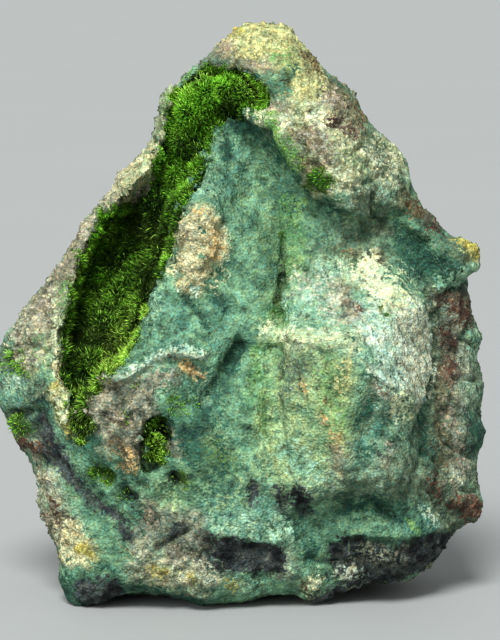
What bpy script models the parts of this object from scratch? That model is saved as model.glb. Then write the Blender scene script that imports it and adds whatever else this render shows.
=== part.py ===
"""A broken piece of copper-stained rock with needle crystals lining its hollows.

The rock is laid out as it looks to an eye that stands in front of it and a little above. A place on
that view is (across, up) in millimetres from the middle of the view, and each place has a depth,
counted away from the eye. Lengths are in millimetres until a mesh is made, which is in metres.
"""

import math

import bpy
import numpy as np
from mathutils.geometry import delaunay_2d_cdt

# Driving dimensions
EYE_DISTANCE = 300.0
EYE_ABOVE = math.radians(8.0)
VIEW_MIDDLE_HEIGHT = 26.6
MIDDLE_OF_OUTLINE = (0.0, -3.0)
FRONT_ROUNDING = 4.5
BACK_ROUNDING = 7.0
FRONT_ROUNDNESS = 2.2
BACK_ROUNDNESS = 2.4
NOTCH_WIDTH = 7
NOTCH_SHARE = 0.4
FLAT_SHARE = 0.55
STEP_SOFTNESS = 0.45
STEP_END = 1.2
HOLLOW_STEEPNESS = 6
CRUST_EDGE = 0.76
CRUST_GAP = 0.6
SPIKE_HEIGHT = 0.75
SLOPE_REACH = 0.4
STEEPEST = 3.5
BEND_EASE = 1.6
CHIP = 6.5
CHIP_DEPTH = 0.9
MILLIMETRE = 0.001

# Lumps of the faces: seed, size and height
FRONT_LUMPS = ((3, 4.5, 0.5), (4, 2.0, 0.35))
BACK_LUMPS = ((6, 2.6, 0.35),)

# How finely the rock is laid out, evened and thinned
RING_PLACES = 360
FRONT_RINGS = 90
BACK_RINGS = 70
MIDDLE_HOLE = 0.02
MESH_SIZE = 0.5
KEPT_SHARE = 0.085
FAR_RING = (16, 34.0, 40.0)

# The rock's outline in the view, clockwise from the left of its top
OUTLINE = (
    (-1.7, 29.3), (-0.5, 29.9), (3.6, 29.5), (5.4, 27.5), (7.0, 25.3), (9.7, 23.2), (11.9, 19.8),
    (15.4, 16.3), (16.2, 13.6), (17.0, 11.2), (18.3, 10.6), (19.3, 8.1), (21.5, 8.3), (23.2, 7.3),
    (22.8, 5.3), (19.9, 3.6), (21.5, 3.4), (22.1, 1.4), (22.1, -0.2), (23.0, -1.7), (22.6, -3.9),
    (23.4, -7.2), (22.6, -9.2), (23.6, -11.1), (22.6, -13.3), (22.6, -16.2), (23.2, -18.2),
    (23.2, -20.0), (19.9, -21.1), (19.5, -23.1), (17.9, -24.5), (15.8, -26.0), (13.0, -26.0),
    (9.7, -26.8), (7.7, -27.8), (6.4, -28.5), (5.0, -27.8), (4.6, -27.2), (1.5, -27.4),
    (-0.5, -28.2), (-5.0, -28.6), (-6.6, -27.8), (-9.5, -27.4), (-11.5, -27.1), (-13.2, -27.4),
    (-15.2, -28.4), (-17.4, -29.0), (-18.3, -27.6), (-19.0, -25.8), (-18.9, -22.7), (-19.7, -21.5),
    (-20.7, -19.4), (-21.1, -17.0), (-21.5, -14.1), (-23.4, -12.1), (-23.4, -11.1), (-25.0, -9.2),
    (-25.6, -5.5), (-25.2, -2.5), (-24.4, -1.5), (-22.6, 1.0), (-20.5, 3.8), (-17.7, 7.5),
    (-16.0, 10.8), (-14.0, 12.4), (-13.2, 14.4), (-10.7, 16.1), (-9.5, 18.5), (-8.7, 20.6),
    (-8.7, 22.4), (-7.4, 23.4), (-6.2, 24.7), (-4.4, 25.9), (-2.8, 27.7),
)

# Depth of the outline itself, by the angle round the middle of the outline in degrees
OUTLINE_DEPTHS = {
    0: 2.0, 25: -1.0, 45: 1.0, 75: 3.0, 95: 3.0, 120: 2.0, 150: 1.0, 180: 0.0,
    215: -3.0, 235: -6.5, 270: -7.0, 300: -6.5, 325: -2.0, 345: 1.0,
}

# Places on the front: (across, up, depth)
FRONT_PLACES = {
    "top": (1.0, 28.0, -1.0),
    "top shoulder": (3.5, 26.0, -4.0),
    "shelf above the tent": (2.0, 23.0, -5.0),
    "band crest": (6.0, 21.0, -7.5),
    "band lower crest": (9.0, 17.0, -9.0),
    "band outer slope": (11.5, 18.5, -5.5),
    "band lower end": (11.5, 13.0, -8.5),
    "right of the band": (14.5, 14.0, -4.5),
    "upper shelf": (-5.0, 25.0, -2.5),
    "upper left rim": (-8.5, 20.0, -2.0),
    "neck rim": (-10.5, 15.0, -3.0),
    "left rim top": (-14.0, 11.5, -3.5),
    "left rim middle": (-17.5, 5.8, -5.0),
    "left rim low": (-20.5, 0.0, -6.5),
    "left lobe": (-23.5, -6.5, -5.5),
    "left lobe front": (-21.0, -7.5, -8.5),
    "tent top": (0.0, 18.0, -2.0),
    "tent upper right": (1.2, 14.0, -3.5),
    "tent upper left": (-2.5, 15.0, -4.0),
    "tent middle": (0.0, 9.0, -6.0),
    "tent right": (5.0, 11.0, -4.5),
    "tent lower right": (7.0, 7.0, -6.0),
    "under the band": (9.5, 9.5, -4.5),
    "knob top": (-5.5, 9.5, -9.5),
    "knob foot": (-6.0, 4.0, -8.5),
    "centre": (-1.5, 2.0, -8.0),
    "centre left": (-7.0, -1.0, -9.5),
    "right lip of the hollow": (-10.0, -2.5, -9.5),
    "pale ridge": (-7.5, -3.5, -11.0),
    "grey lump": (-13.0, -8.5, -12.5),
    "grey lump foot": (-12.5, -13.5, -12.0),
    "left band": (-17.5, -11.0, -10.0),
    "left foot": (-19.5, -17.0, -8.5),
    "left corner": (-16.5, -24.0, -9.5),
    "dark band": (-14.0, -19.0, -10.0),
    "bottom left": (-11.0, -24.0, -11.5),
    "lower centre": (-5.0, -11.0, -12.0),
    "belly": (-2.0, -16.0, -12.5),
    "bottom middle": (-2.5, -24.0, -12.0),
    "beside the bulge": (1.0, -8.0, -11.0),
    "step to the bulge": (2.0, -3.0, -9.5),
    "cracked strip": (3.5, 3.5, -8.0),
    "bulge far edge left": (8.8, 4.2, -6.2),
    "bulge far edge": (12.2, 5.5, -5.2),
    "bulge far edge right": (15.5, 3.6, -6.2),
    "bulge top": (9.5, 1.2, -9.8),
    "bulge top right": (14.0, -0.6, -10.8),
    "brow left": (4.4, -2.1, -12.2),
    "brow middle": (10.2, -2.6, -14.6),
    "brow right": (13.2, -6.0, -15.2),
    "brow end": (15.2, -7.6, -14.2),
    "bulge side": (17.0, -4.2, -9.6),
    "bulge side low": (16.4, -10.5, -10.6),
    "bulge upper face": (7.0, -6.0, -14.2),
    "bulge face": (8.0, -11.0, -14.8),
    "bulge left face": (4.8, -11.5, -12.8),
    "bulge lower right edge": (14.6, -14.0, -12.8),
    "bulge foot": (9.0, -16.5, -13.4),
    "undercut": (9.0, -20.0, -11.0),
    "lower right": (15.0, -22.0, -9.5),
    "bottom right": (8.0, -26.0, -9.5),
    "bottom right of middle": (2.0, -25.0, -11.0),
    "flank top": (18.4, 1.5, -5.0),
    "flank crevice": (18.2, -3.0, -6.5),
    "flank middle": (20.0, -8.0, -6.0),
    "flank low": (20.0, -16.0, -6.0),
    "valley": (13.5, 8.6, -3.4),
    "wedge facet": (17.8, 6.6, -2.6),
    "nub": (21.2, 6.8, -3.0),
}

# Sharp steps of the front: the ground on the left of the path stands nearer than on its right
STEPS = (
    {"path": ((-0.3, 20.2), (1.2, 19.8), (3.2, 17.5), (5.0, 15.2), (8.0, 12.3)),
     "rise": 2.6, "reach": 5.0},
    {"path": ((-2.4, 11.5), (-3.0, 8.0), (-3.8, 4.0), (-6.5, 2.6)), "rise": -1.4, "reach": 2.5},
    {"path": ((14.5, -17.0), (9.0, -17.6), (4.5, -18.6)), "rise": -1.6, "reach": 3.5},
    {"path": ((-14.5, -6.5), (-10.5, -4.6), (-7.5, -3.2), (-4.5, -3.4)), "rise": 1.5, "reach": 3.0},
    {"path": ((3.6, -2.4), (3.0, -7.0), (3.4, -12.0)), "rise": 1.6, "reach": 3.0},
)

# Ridges and cracks: depth added along a path, sharp at the path, with its half width
FURROWS = (
    {"path": ((1.8, -2.1), (4.4, -2.1), (10.2, -2.6), (13.2, -6.0), (15.2, -7.6)),
     "depth": -1.0, "width": 1.3},
    {"path": ((17.8, -2.5), (16.4, -8.5), (15.7, -14.5), (15.0, -17.5)), "depth": 1.1, "width": 1.0},
    {"path": ((14.5, 12.0), (17.5, 8.6), (20.5, 5.4)), "depth": -2.2, "width": 1.1},
    {"path": ((3.4, 7.4), (3.1, 3.5), (2.9, 0.0)), "depth": 1.6, "width": 0.7},
    {"path": ((-1.0, -2.5), (-3.0, -5.5), (-4.6, -8.2)), "depth": 1.7, "width": 0.8},
    {"path": ((18.2, 1.2), (18.4, -4.0), (17.6, -9.0)), "depth": 2.0, "width": 0.9},
    {"path": ((12.2, 13.2), (12.0, 10.4)), "depth": 1.2, "width": 0.5},
    {"path": ((-20.5, -8.0), (-18.8, -13.0), (-16.0, -17.0), (-12.0, -20.5)),
     "depth": 1.0, "width": 1.3},
    {"path": ((-6.0, -23.4), (0.0, -24.2), (2.6, -23.2)), "depth": 0.9, "width": 1.3},
)

# Hollows: a path with (across, up, half width, depth of the hollow, thickness of its crust)
HOLLOWS = {
    "main_needle_crust": (
        (0.6, 22.3, 1.5, 2.2, 2.2), (-1.4, 22.6, 2.7, 3.4, 3.4), (-3.6, 22.6, 2.9, 4.0, 4.0),
        (-5.5, 20.8, 3.1, 4.2, 3.8), (-6.3, 18.2, 2.7, 5.0, 2.9), (-6.8, 15.5, 2.5, 5.4, 2.4),
        (-9.0, 12.5, 2.9, 7.0, 2.0), (-11.2, 8.8, 4.2, 9.4, 1.8), (-13.0, 5.0, 4.2, 10.0, 1.8),
        (-14.2, 1.0, 4.1, 10.0, 1.8), (-15.5, -2.5, 3.7, 9.0, 1.9), (-16.6, -5.5, 2.4, 6.0, 2.2),
    ),
    "lip_needle_crust": (
        (-17.2, -8.2, 1.0, 1.5, 1.9), (-16.8, -10.0, 1.3, 1.8, 2.3), (-16.9, -11.6, 1.0, 1.4, 1.7),
    ),
    "pocket_needle_crust": (
        (-9.2, -10.9, 1.3, 2.6, 2.2), (-9.4, -12.6, 1.7, 3.2, 1.8), (-9.8, -14.2, 1.2, 2.6, 1.5),
    ),
}
CRUST_GRIDS = {
    "main_needle_crust": (54, 12),
    "lip_needle_crust": (10, 6),
    "pocket_needle_crust": (10, 6),
}

# Big broken faces of the back: depth at the middle of the view, and its change across and up
BACK_FACES = (
    (15.5, 0.04, -0.12), (17.0, 0.10, -0.42), (22.5, 0.75, 0.05), (21.0, -0.62, 0.10),
    (24.5, 0.15, 0.62), (23.0, -0.55, -0.45), (21.5, 0.55, -0.35),
)


def lattice_noise(seed, size, points):
    """Smooth noise from -1 to 1: random values on a cubic lattice of the given size, eased between."""
    values = np.random.default_rng(seed).uniform(-1.0, 1.0, (24, 24, 24))
    scaled = points / size + 200.0
    cell = np.floor(scaled).astype(int)
    part = scaled - cell
    part = part * part * (3.0 - 2.0 * part)
    total = np.zeros(len(points))
    for corner in np.ndindex(2, 2, 2):
        place = (cell + corner) % 24
        weight = np.prod(np.where(corner, part, 1.0 - part), axis=1)
        total += weight * values[place[:, 0], place[:, 1], place[:, 2]]
    return total


def lumps(layers, across, up):
    """The sum of layers of smooth noise over the view."""
    spot = np.column_stack((across.ravel(), up.ravel(), np.zeros(across.size)))
    total = sum(height * lattice_noise(seed, size, spot) for seed, size, height in layers)
    return total.reshape(across.shape)


def nearest_on_path(path, across, up):
    """Distance to a path, how far left of its line a place is, and the path's other values there."""
    path = np.asarray(path, float)
    best = np.full(across.shape, np.inf)
    side = np.zeros(across.shape)
    values = np.zeros(across.shape + (path.shape[1] - 2,))
    for start, end in zip(path[:-1], path[1:]):
        run = end[:2] - start[:2]
        share = ((across - start[0]) * run[0] + (up - start[1]) * run[1]) / run.dot(run)
        share = np.clip(share, 0.0, 1.0)
        off_across = across - start[0] - share * run[0]
        off_up = up - start[1] - share * run[1]
        distance = np.hypot(off_across, off_up)
        nearer = distance < best
        best = np.where(nearer, distance, best)
        left = (run[0] * (up - start[1]) - run[1] * (across - start[0])) / np.hypot(*run)
        side = np.where(nearer, left, side)
        between = start[2:] + share[..., None] * (end[2:] - start[2:])
        values = np.where(nearer[..., None], between, values)
    return best, side, values


def bending_kernel(distance):
    """The thin plate's r^2 log r."""
    safe = np.maximum(distance, 1e-9)
    return safe * safe * np.log(safe)


def fit_thin_plate(places):
    """Weights of the thin plate that passes through (across, up, depth) places."""
    places = np.asarray(places, float)
    count = len(places)
    spans = np.hypot(*(places[:, None, :2] - places[None, :, :2]).transpose(2, 0, 1))
    plane = np.column_stack((np.ones(count), places[:, :2]))
    system = np.zeros((count + 3, count + 3))
    system[:count, :count] = bending_kernel(spans)
    system[:count, count:] = plane
    system[count:, :count] = plane.T
    weights = np.linalg.solve(system, np.append(places[:, 2], np.zeros(3)))
    return places[:, :2], weights


def plate_depth(plate, across, up):
    """Depth of the fitted thin plate."""
    centres, weights = plate
    depth = weights[-3] + weights[-2] * across + weights[-1] * up
    for centre, weight in zip(centres, weights):
        depth = depth + weight * bending_kernel(np.hypot(across - centre[0], up - centre[1]))
    return depth


def broken_faces(places):
    """Flat three-cornered faces between the places, each as its corners in the view and its plane."""
    corners = [tuple(place[:2]) for place in places]
    points, _, triangles, *_ = delaunay_2d_cdt(corners, [], [], 0, 1e-6)
    depths = np.asarray(places)[:, 2]
    faces = []
    for triangle in triangles:
        ends = np.array([points[number] for number in triangle])
        plane = np.linalg.solve(np.column_stack((ends, np.ones(3))), depths[list(triangle)])
        faces.append((ends, plane))
    return faces


def faces_depth(faces, across, up, otherwise):
    """Depth of the flat face that each place of the view lies in."""
    depth = otherwise.copy()
    for ends, plane in faces:
        inside = np.ones(across.shape, bool)
        for start, end in zip(ends, np.roll(ends, -1, axis=0)):
            run = end - start
            inside &= run[0] * (up - start[1]) - run[1] * (across - start[0]) >= -1e-6
        depth = np.where(inside, plane[0] * across + plane[1] * up + plane[2], depth)
    return depth


def hollow_depth(across, up):
    """How deep the hollows go in below the rock's face: a bowl with steep walls across each path."""
    depth = np.zeros(across.shape)
    for path in HOLLOWS.values():
        distance, _, values = nearest_on_path(path, across, up)
        share = np.clip(distance / values[..., 0], 0.0, 1.0)
        depth = np.maximum(depth, values[..., 1] * (1.0 - share ** HOLLOW_STEEPNESS))
    return depth


def prepare_front():
    """The thin plate through the front's places, and the flat faces between them and a far ring."""
    places = list(FRONT_PLACES.values())
    plate = fit_thin_plate(places)
    count, half_width, half_height = FAR_RING
    turns = np.linspace(0.0, 2.0 * math.pi, count, endpoint=False)
    across = MIDDLE_OF_OUTLINE[0] + half_width * np.cos(turns)
    up = MIDDLE_OF_OUTLINE[1] + half_height * np.sin(turns)
    ring = np.column_stack((across, up, plate_depth(plate, across, up)))
    return plate, broken_faces(places + [tuple(place) for place in ring])


FRONT_PLATE, FRONT_FACES = prepare_front()


def front_depth(across, up):
    """Depth of the front face: plate and flat faces, then steps, furrows, lumps and hollows."""
    smooth = plate_depth(FRONT_PLATE, across, up)
    flat = faces_depth(FRONT_FACES, across, up, smooth)
    depth = smooth + FLAT_SHARE * (flat - smooth)
    for step in STEPS:
        distance, side, _ = nearest_on_path(step["path"], across, up)
        beyond_end = distance ** 2 - side ** 2
        fade = np.exp(-(distance / step["reach"]) ** 2 - beyond_end / STEP_END ** 2)
        depth = depth - 0.5 * step["rise"] * np.tanh(side / STEP_SOFTNESS) * fade
    for furrow in FURROWS:
        distance, _, _ = nearest_on_path(furrow["path"], across, up)
        depth = depth + furrow["depth"] * np.exp(-distance / furrow["width"])
    return depth + lumps(FRONT_LUMPS, across, up) + hollow_depth(across, up)


def prepare_back():
    """Chipped faces of the back: jittered places on the nearest of the big broken faces."""
    random = np.random.default_rng(12)
    _, half_width, half_height = FAR_RING
    columns = np.arange(-half_width, half_width + CHIP, CHIP)
    rows = np.arange(-half_height, half_height + CHIP, CHIP)
    places = np.stack(np.meshgrid(columns, rows), axis=-1).reshape(-1, 2)
    places += random.uniform(-0.35, 0.35, places.shape) * CHIP
    planes = [middle + over * places[:, 0] + rise * places[:, 1] for middle, over, rise in BACK_FACES]
    depths = np.minimum.reduce(planes) + random.uniform(-CHIP_DEPTH, CHIP_DEPTH, len(places))
    return broken_faces(list(map(tuple, np.column_stack((places, depths)))))


CHIPPED_FACES = prepare_back()


def back_depth(across, up):
    """Depth of the back: its chipped faces, with small lumps."""
    chipped = faces_depth(CHIPPED_FACES, across, up, np.zeros(across.shape))
    return chipped + lumps(BACK_LUMPS, across, up)


def in_world(across, up, depth):
    """Turns places of the view with their depth into world points, nearer ones drawn larger."""
    spread = 1.0 + depth / EYE_DISTANCE
    rise = up * spread
    back = depth * math.cos(EYE_ABOVE) + rise * math.sin(EYE_ABOVE)
    height = rise * math.cos(EYE_ABOVE) - depth * math.sin(EYE_ABOVE) + VIEW_MIDDLE_HEIGHT
    return np.stack((across * spread, back, height), axis=-1)


def outline_reach(angles):
    """Distance from the middle of the outline to the outline along each angle, in radians."""
    corners = np.array(OUTLINE) - MIDDLE_OF_OUTLINE
    turns = np.arctan2(corners[:, 1], corners[:, 0])
    order = np.argsort(turns)
    start, turns = corners[order], turns[order]
    end = np.roll(start, -1, axis=0)
    last = np.searchsorted(turns, angles, side="right") - 1
    ray = np.column_stack((np.cos(angles), np.sin(angles)))
    edge = end[last] - start[last]
    crossing = start[last, 0] * edge[:, 1] - start[last, 1] * edge[:, 0]
    return crossing / (ray[:, 0] * edge[:, 1] - ray[:, 1] * edge[:, 0])


def rounded(share, roundness):
    """A quarter of a superellipse: upright where it leaves the outline, flat where share is 1."""
    return (1.0 - (1.0 - np.clip(share, 0.0, 1.0)) ** roundness) ** (1.0 / roundness)


def closed_grid(rings, first, last):
    """Points and faces of rings of points closed by one point at each end."""
    count, around = rings.shape[:2]
    points = np.vstack((first[None], rings.reshape(-1, 3), last[None]))
    index = 1 + np.arange(count * around).reshape(count, around)
    after = np.roll(index, -1, axis=1)
    faces = np.stack((index[:-1], index[1:], after[1:], after[:-1]), axis=-1).reshape(-1, 4).tolist()
    faces += [(0, a, b) for a, b in zip(index[0], after[0])]
    faces += [(len(points) - 1, b, a) for a, b in zip(index[-1], after[-1])]
    return points, faces


def outline_depth(angles):
    """Depth of the outline along each angle."""
    turns = np.degrees(angles) % 360.0
    return np.interp(turns, list(OUTLINE_DEPTHS), list(OUTLINE_DEPTHS.values()), period=360.0)


def front_skin(across, up):
    """Depth of the skin on the side of the eye: the face, drawn in to the outline at its edge."""
    off_across, off_up = across - MIDDLE_OF_OUTLINE[0], up - MIDDLE_OF_OUTLINE[1]
    angles = np.arctan2(off_up, off_across)
    reach = outline_reach(angles.ravel()).reshape(angles.shape)
    swell = rounded((reach - np.hypot(off_across, off_up)) / FRONT_ROUNDING, FRONT_ROUNDNESS)
    edge = outline_depth(angles)
    return edge + (front_depth(across, up) - edge) * swell


def front_ring(angles, reach, share):
    """One ring of the front skin at a share of the outline's reach."""
    across = MIDDLE_OF_OUTLINE[0] + share * reach * np.cos(angles)
    up = MIDDLE_OF_OUTLINE[1] + share * reach * np.sin(angles)
    return in_world(across, up, front_skin(across, up))


def back_ring(angles, reach, eased_reach, share):
    """One ring of the back: the outline's notches fade out behind it, and its edge is rounded."""
    swell = rounded((1.0 - share) * reach / BACK_ROUNDING, BACK_ROUNDNESS)
    fade = np.clip(swell / NOTCH_SHARE, 0.0, 1.0)
    radius = share * (reach + fade * (eased_reach - reach))
    across = MIDDLE_OF_OUTLINE[0] + radius * np.cos(angles)
    up = MIDDLE_OF_OUTLINE[1] + radius * np.sin(angles)
    edge = outline_depth(angles)
    return in_world(across, up, edge + (back_depth(across, up) - edge) * swell)


def rock_points():
    """Rings round the line of sight, from the front's middle over the outline to the back's middle."""
    angles = np.linspace(-math.pi, math.pi, RING_PLACES, endpoint=False) + 1e-4
    reach = outline_reach(angles)
    turned = [np.roll(reach, turn) for turn in range(-NOTCH_WIDTH, NOTCH_WIDTH + 1)]
    eased_reach = np.mean(turned, axis=0)
    front_shares = np.sin(np.linspace(MIDDLE_HOLE, 0.5, FRONT_RINGS) * math.pi)
    back_shares = np.sin(np.linspace(0.5, MIDDLE_HOLE, BACK_RINGS)[1:] * math.pi)
    rings = [front_ring(angles, reach, share) for share in front_shares]
    rings += [back_ring(angles, reach, eased_reach, share) for share in back_shares]
    middle = np.array([MIDDLE_OF_OUTLINE[0]]), np.array([MIDDLE_OF_OUTLINE[1]])
    first = in_world(*middle, front_skin(*middle))[0]
    last = in_world(*middle, back_depth(*middle))[0]
    return closed_grid(np.array(rings), first, last)


def path_frames(path, count):
    """Evenly spaced places on a path with its bends eased, its sideways directions and values."""
    path = np.asarray(path, float)
    lengths = np.append(0.0, np.cumsum(np.hypot(*np.diff(path[:, :2], axis=0).T)))
    stations = np.linspace(0.0, lengths[-1], count)
    window = np.linspace(-BEND_EASE, BEND_EASE, 9)
    near = np.clip(stations[:, None] + window, 0.0, lengths[-1])
    places = np.column_stack([np.interp(near, lengths, column).mean(axis=1) for column in path.T])
    run = np.gradient(places[:, :2], axis=0)
    run /= np.hypot(*run.T)[:, None]
    return places, np.column_stack((-run[:, 1], run[:, 0]))


def slope_length(across, up):
    """How long a slope of the front skin is for each millimetre of the view, at most STEEPEST."""
    over = front_skin(across + SLOPE_REACH, up) - front_skin(across - SLOPE_REACH, up)
    rise = front_skin(across, up + SLOPE_REACH) - front_skin(across, up - SLOPE_REACH)
    slope = np.hypot(over, rise) / (2.0 * SLOPE_REACH)
    return np.minimum(np.sqrt(1.0 + slope ** 2), STEEPEST)


def crust_points(name, path):
    """A lens along the hollow: its back follows the hollow's wall, its front carries pyramids."""
    along, wide = CRUST_GRIDS[name]
    places, sideways = path_frames(path, along)
    taper = np.sqrt(np.clip(1.0 - np.linspace(-1.0, 1.0, along) ** 10, 0.0, 1.0))
    across_share = np.sin(np.linspace(-0.5, 0.5, wide) * math.pi)
    half = places[:, 2] * CRUST_EDGE * np.maximum(taper, 0.02)
    offset = half[:, None] * across_share[None, :]
    across = places[:, 0, None] + offset * sideways[:, 0, None]
    up = places[:, 1, None] + offset * sideways[:, 1, None]
    wall = front_skin(across, up) - CRUST_GAP * slope_length(across, up)
    swell = np.sqrt(np.clip(1.0 - across_share ** 2, 0.0, 1.0))[None, :] * taper[:, None]
    spikes = np.random.default_rng(len(name)).uniform(0.0, 1.0, wall.shape) ** 2
    front = wall - swell * (places[:, 4, None] + SPIKE_HEIGHT * (2.0 * spikes - 0.6))
    back = in_world(across, up, wall)
    return lens_grid(in_world(across, up, front), back)


def lens_grid(front, back):
    """Closes two grids that share their border: the border's points are the back's."""
    along, wide = front.shape[:2]
    inside = np.zeros((along, wide), bool)
    inside[1:-1, 1:-1] = True
    back_index = np.arange(along * wide).reshape(along, wide)
    front_index = back_index.copy()
    front_index[inside] = along * wide + np.arange(inside.sum())
    points = np.vstack((back.reshape(-1, 3), front[inside]))
    return points, grid_faces(front_index, False) + grid_faces(back_index, True)


def grid_faces(index, flipped):
    """Four-cornered faces of a grid of point numbers, facing the other way where flipped."""
    corners = [index[:-1, :-1], index[1:, :-1], index[1:, 1:], index[:-1, 1:]]
    if flipped:
        corners.reverse()
    return np.stack(corners, axis=-1).reshape(-1, 4).tolist()


def new_object(name, points, faces, material, shift):
    """An object with its mesh in metres, moved by the shift that puts the origin under the rock."""
    mesh = bpy.data.meshes.new(name)
    mesh.from_pydata((points + shift) * MILLIMETRE, [], faces)
    mesh.materials.append(material)
    mesh.validate()
    thing = bpy.data.objects.new(name, mesh)
    bpy.context.collection.objects.link(thing)
    return thing


def new_material(name, colour, roughness):
    """A plain Principled finish."""
    material = bpy.data.materials.new(name)
    material.use_nodes = True
    shader = material.node_tree.nodes["Principled BSDF"]
    shader.inputs["Base Color"].default_value = (*colour, 1.0)
    shader.inputs["Roughness"].default_value = roughness
    shader.inputs["Metallic"].default_value = 0.0
    return material


def ground_cutter():
    """A slab whose top is the ground, to cut the rock's seat flat."""
    half, deep = 60.0 * MILLIMETRE, 20.0 * MILLIMETRE
    corners = [(x * half, y * half, z) for z in (-deep, 0.0) for y in (-1, 1) for x in (-1, 1)]
    faces = [(0, 2, 3, 1), (4, 5, 7, 6), (0, 1, 5, 4), (2, 6, 7, 3), (0, 4, 6, 2), (1, 3, 7, 5)]
    mesh = bpy.data.meshes.new("ground_cutter")
    mesh.from_pydata(corners, [], faces)
    cutter = bpy.data.objects.new("ground_cutter", mesh)
    cutter.hide_render = True
    cutter.display_type = "WIRE"
    bpy.context.collection.objects.link(cutter)
    return cutter


def make_matrix(points, faces, shift):
    """The rock: evened into small faces, thinned where it is flat, and cut flat where it rests."""
    stone = new_material("stained_rock", (0.16, 0.30, 0.19), 0.85)
    rock = new_object("matrix", points, faces, stone, shift)
    even = rock.modifiers.new("even", "REMESH")
    even.mode = "VOXEL"
    even.voxel_size = MESH_SIZE * MILLIMETRE
    thin = rock.modifiers.new("thin", "DECIMATE")
    thin.ratio = KEPT_SHARE
    seat = rock.modifiers.new("seat", "BOOLEAN")
    seat.operation = "DIFFERENCE"
    seat.object = ground_cutter()
    return rock


def main():
    for thing in list(bpy.data.objects):
        bpy.data.objects.remove(thing, do_unlink=True)
    points, faces = rock_points()
    low, high = points.min(axis=0), points.max(axis=0)
    shift = np.array((-0.5 * (low[0] + high[0]), -0.5 * (low[1] + high[1]), 0.0))
    make_matrix(points, faces, shift)
    needles = new_material("green_needles", (0.09, 0.25, 0.02), 0.45)
    for name, path in HOLLOWS.items():
        new_object(name, *crust_points(name, path), needles, shift)


main()
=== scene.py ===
import math

import bmesh
import bpy
import numpy as np
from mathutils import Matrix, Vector


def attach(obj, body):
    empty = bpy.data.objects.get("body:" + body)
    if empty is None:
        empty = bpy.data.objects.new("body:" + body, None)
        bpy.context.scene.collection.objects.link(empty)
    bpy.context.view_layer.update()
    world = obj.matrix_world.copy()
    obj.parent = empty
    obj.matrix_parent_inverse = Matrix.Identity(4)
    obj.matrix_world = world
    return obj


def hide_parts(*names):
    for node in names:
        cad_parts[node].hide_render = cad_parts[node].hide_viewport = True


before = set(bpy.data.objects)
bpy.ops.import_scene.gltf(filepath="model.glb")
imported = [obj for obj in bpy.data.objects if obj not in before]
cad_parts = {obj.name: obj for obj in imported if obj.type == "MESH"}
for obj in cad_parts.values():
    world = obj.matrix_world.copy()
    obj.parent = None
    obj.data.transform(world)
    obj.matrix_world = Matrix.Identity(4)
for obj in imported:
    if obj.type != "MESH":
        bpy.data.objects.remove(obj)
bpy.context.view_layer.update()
mm = 0.001

# The eye that the rock is laid out for: places on its view are (across, up) in mm, depth is counted away
# from it
eye = {"distance": 300.0, "above": math.radians(8.0), "middle": (0.953, 0.229, 26.6), "viewHeight": 64.0}

# Lattices of the noises: cells before they repeat, a shift that keeps places above 0, and how layers are
# stacked
lattice = {
    "cells": 32, "shift": 300.0, "seedShift": 0.37, "layerSeeds": 7, "layerShrink": 2.1, "layerGain": 1.6,
    "grainCells": 24, "grainShift": 200.0, "grainJitter": (0.1, 0.9), "farAway": 9.0,
}


def toView(points):
    # world mm to (across, up, depth): turned down by the eye's height, nearer things counted larger
    offset = points - np.array(eye["middle"])
    sine, cosine = math.sin(eye["above"]), math.cos(eye["above"])
    depth = offset[:, 1] * cosine - offset[:, 2] * sine
    rise = offset[:, 1] * sine + offset[:, 2] * cosine
    spread = 1.0 + depth / eye["distance"]
    return offset[:, 0] / spread, rise / spread, depth


def unit(vectors):
    # each vector divided by its own length
    return vectors / np.maximum(np.linalg.norm(vectors, axis=-1, keepdims=True), 1e-12)


def smoothStep(value, low, high):
    # 0 below low, 1 above high, eased between
    share = np.clip((value - low) / (high - low), 0.0, 1.0)
    return share * share * (3.0 - 2.0 * share)


def waves(seed, size, points):
    # smooth noise from -1 to 1: random values on a cubic lattice of the given size, eased between its corners
    cells = lattice["cells"]
    values = np.random.default_rng(seed).uniform(-1.0, 1.0, (cells, cells, cells))
    scaled = points / size + lattice["shift"] + seed * lattice["seedShift"]
    cell = np.floor(scaled).astype(int)
    part = scaled - cell
    part = part * part * (3.0 - 2.0 * part)
    total = np.zeros(len(points))
    for corner in np.ndindex(2, 2, 2):
        place = (cell + corner) % cells
        weight = np.prod(np.where(corner, part, 1.0 - part), axis=1)
        total += weight * values[place[:, 0], place[:, 1], place[:, 2]]
    return total


def layeredWaves(seed, size, points, layers=3, keep=0.55):
    # the sum of waves, each layer about half the size of the one before and keep times as strong
    total, strength, weight = 0.0, 1.0, 0.0
    for layer in range(layers):
        layerSize = size / lattice["layerShrink"] ** layer
        total = total + strength * waves(seed + lattice["layerSeeds"] * layer, layerSize, points)
        weight += strength
        strength *= keep
    return total / weight * lattice["layerGain"]


def grains(seed, size, points):
    # distances to the nearest and second nearest of jittered lattice points, in cells, and the nearest
    # one's own random number
    cells = lattice["grainCells"]
    jitter = np.random.default_rng(seed).uniform(*lattice["grainJitter"], (cells, cells, cells, 3))
    own = np.random.default_rng(seed + 1).uniform(0.0, 1.0, (cells, cells, cells))
    scaled = points / size + lattice["grainShift"]
    cell = np.floor(scaled).astype(int)
    first = np.full(len(points), lattice["farAway"])
    second = np.full(len(points), lattice["farAway"])
    number = np.zeros(len(points))
    for corner in np.ndindex(3, 3, 3):
        near = cell + corner - 1
        at = near % cells
        centre = near + jitter[at[:, 0], at[:, 1], at[:, 2]]
        gap = np.linalg.norm(scaled - centre, axis=1)
        closer = gap < first
        second = np.where(closer, first, np.minimum(second, gap))
        number = np.where(closer, own[at[:, 0], at[:, 1], at[:, 2]], number)
        first = np.where(closer, gap, first)
    return first, second, number


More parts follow.
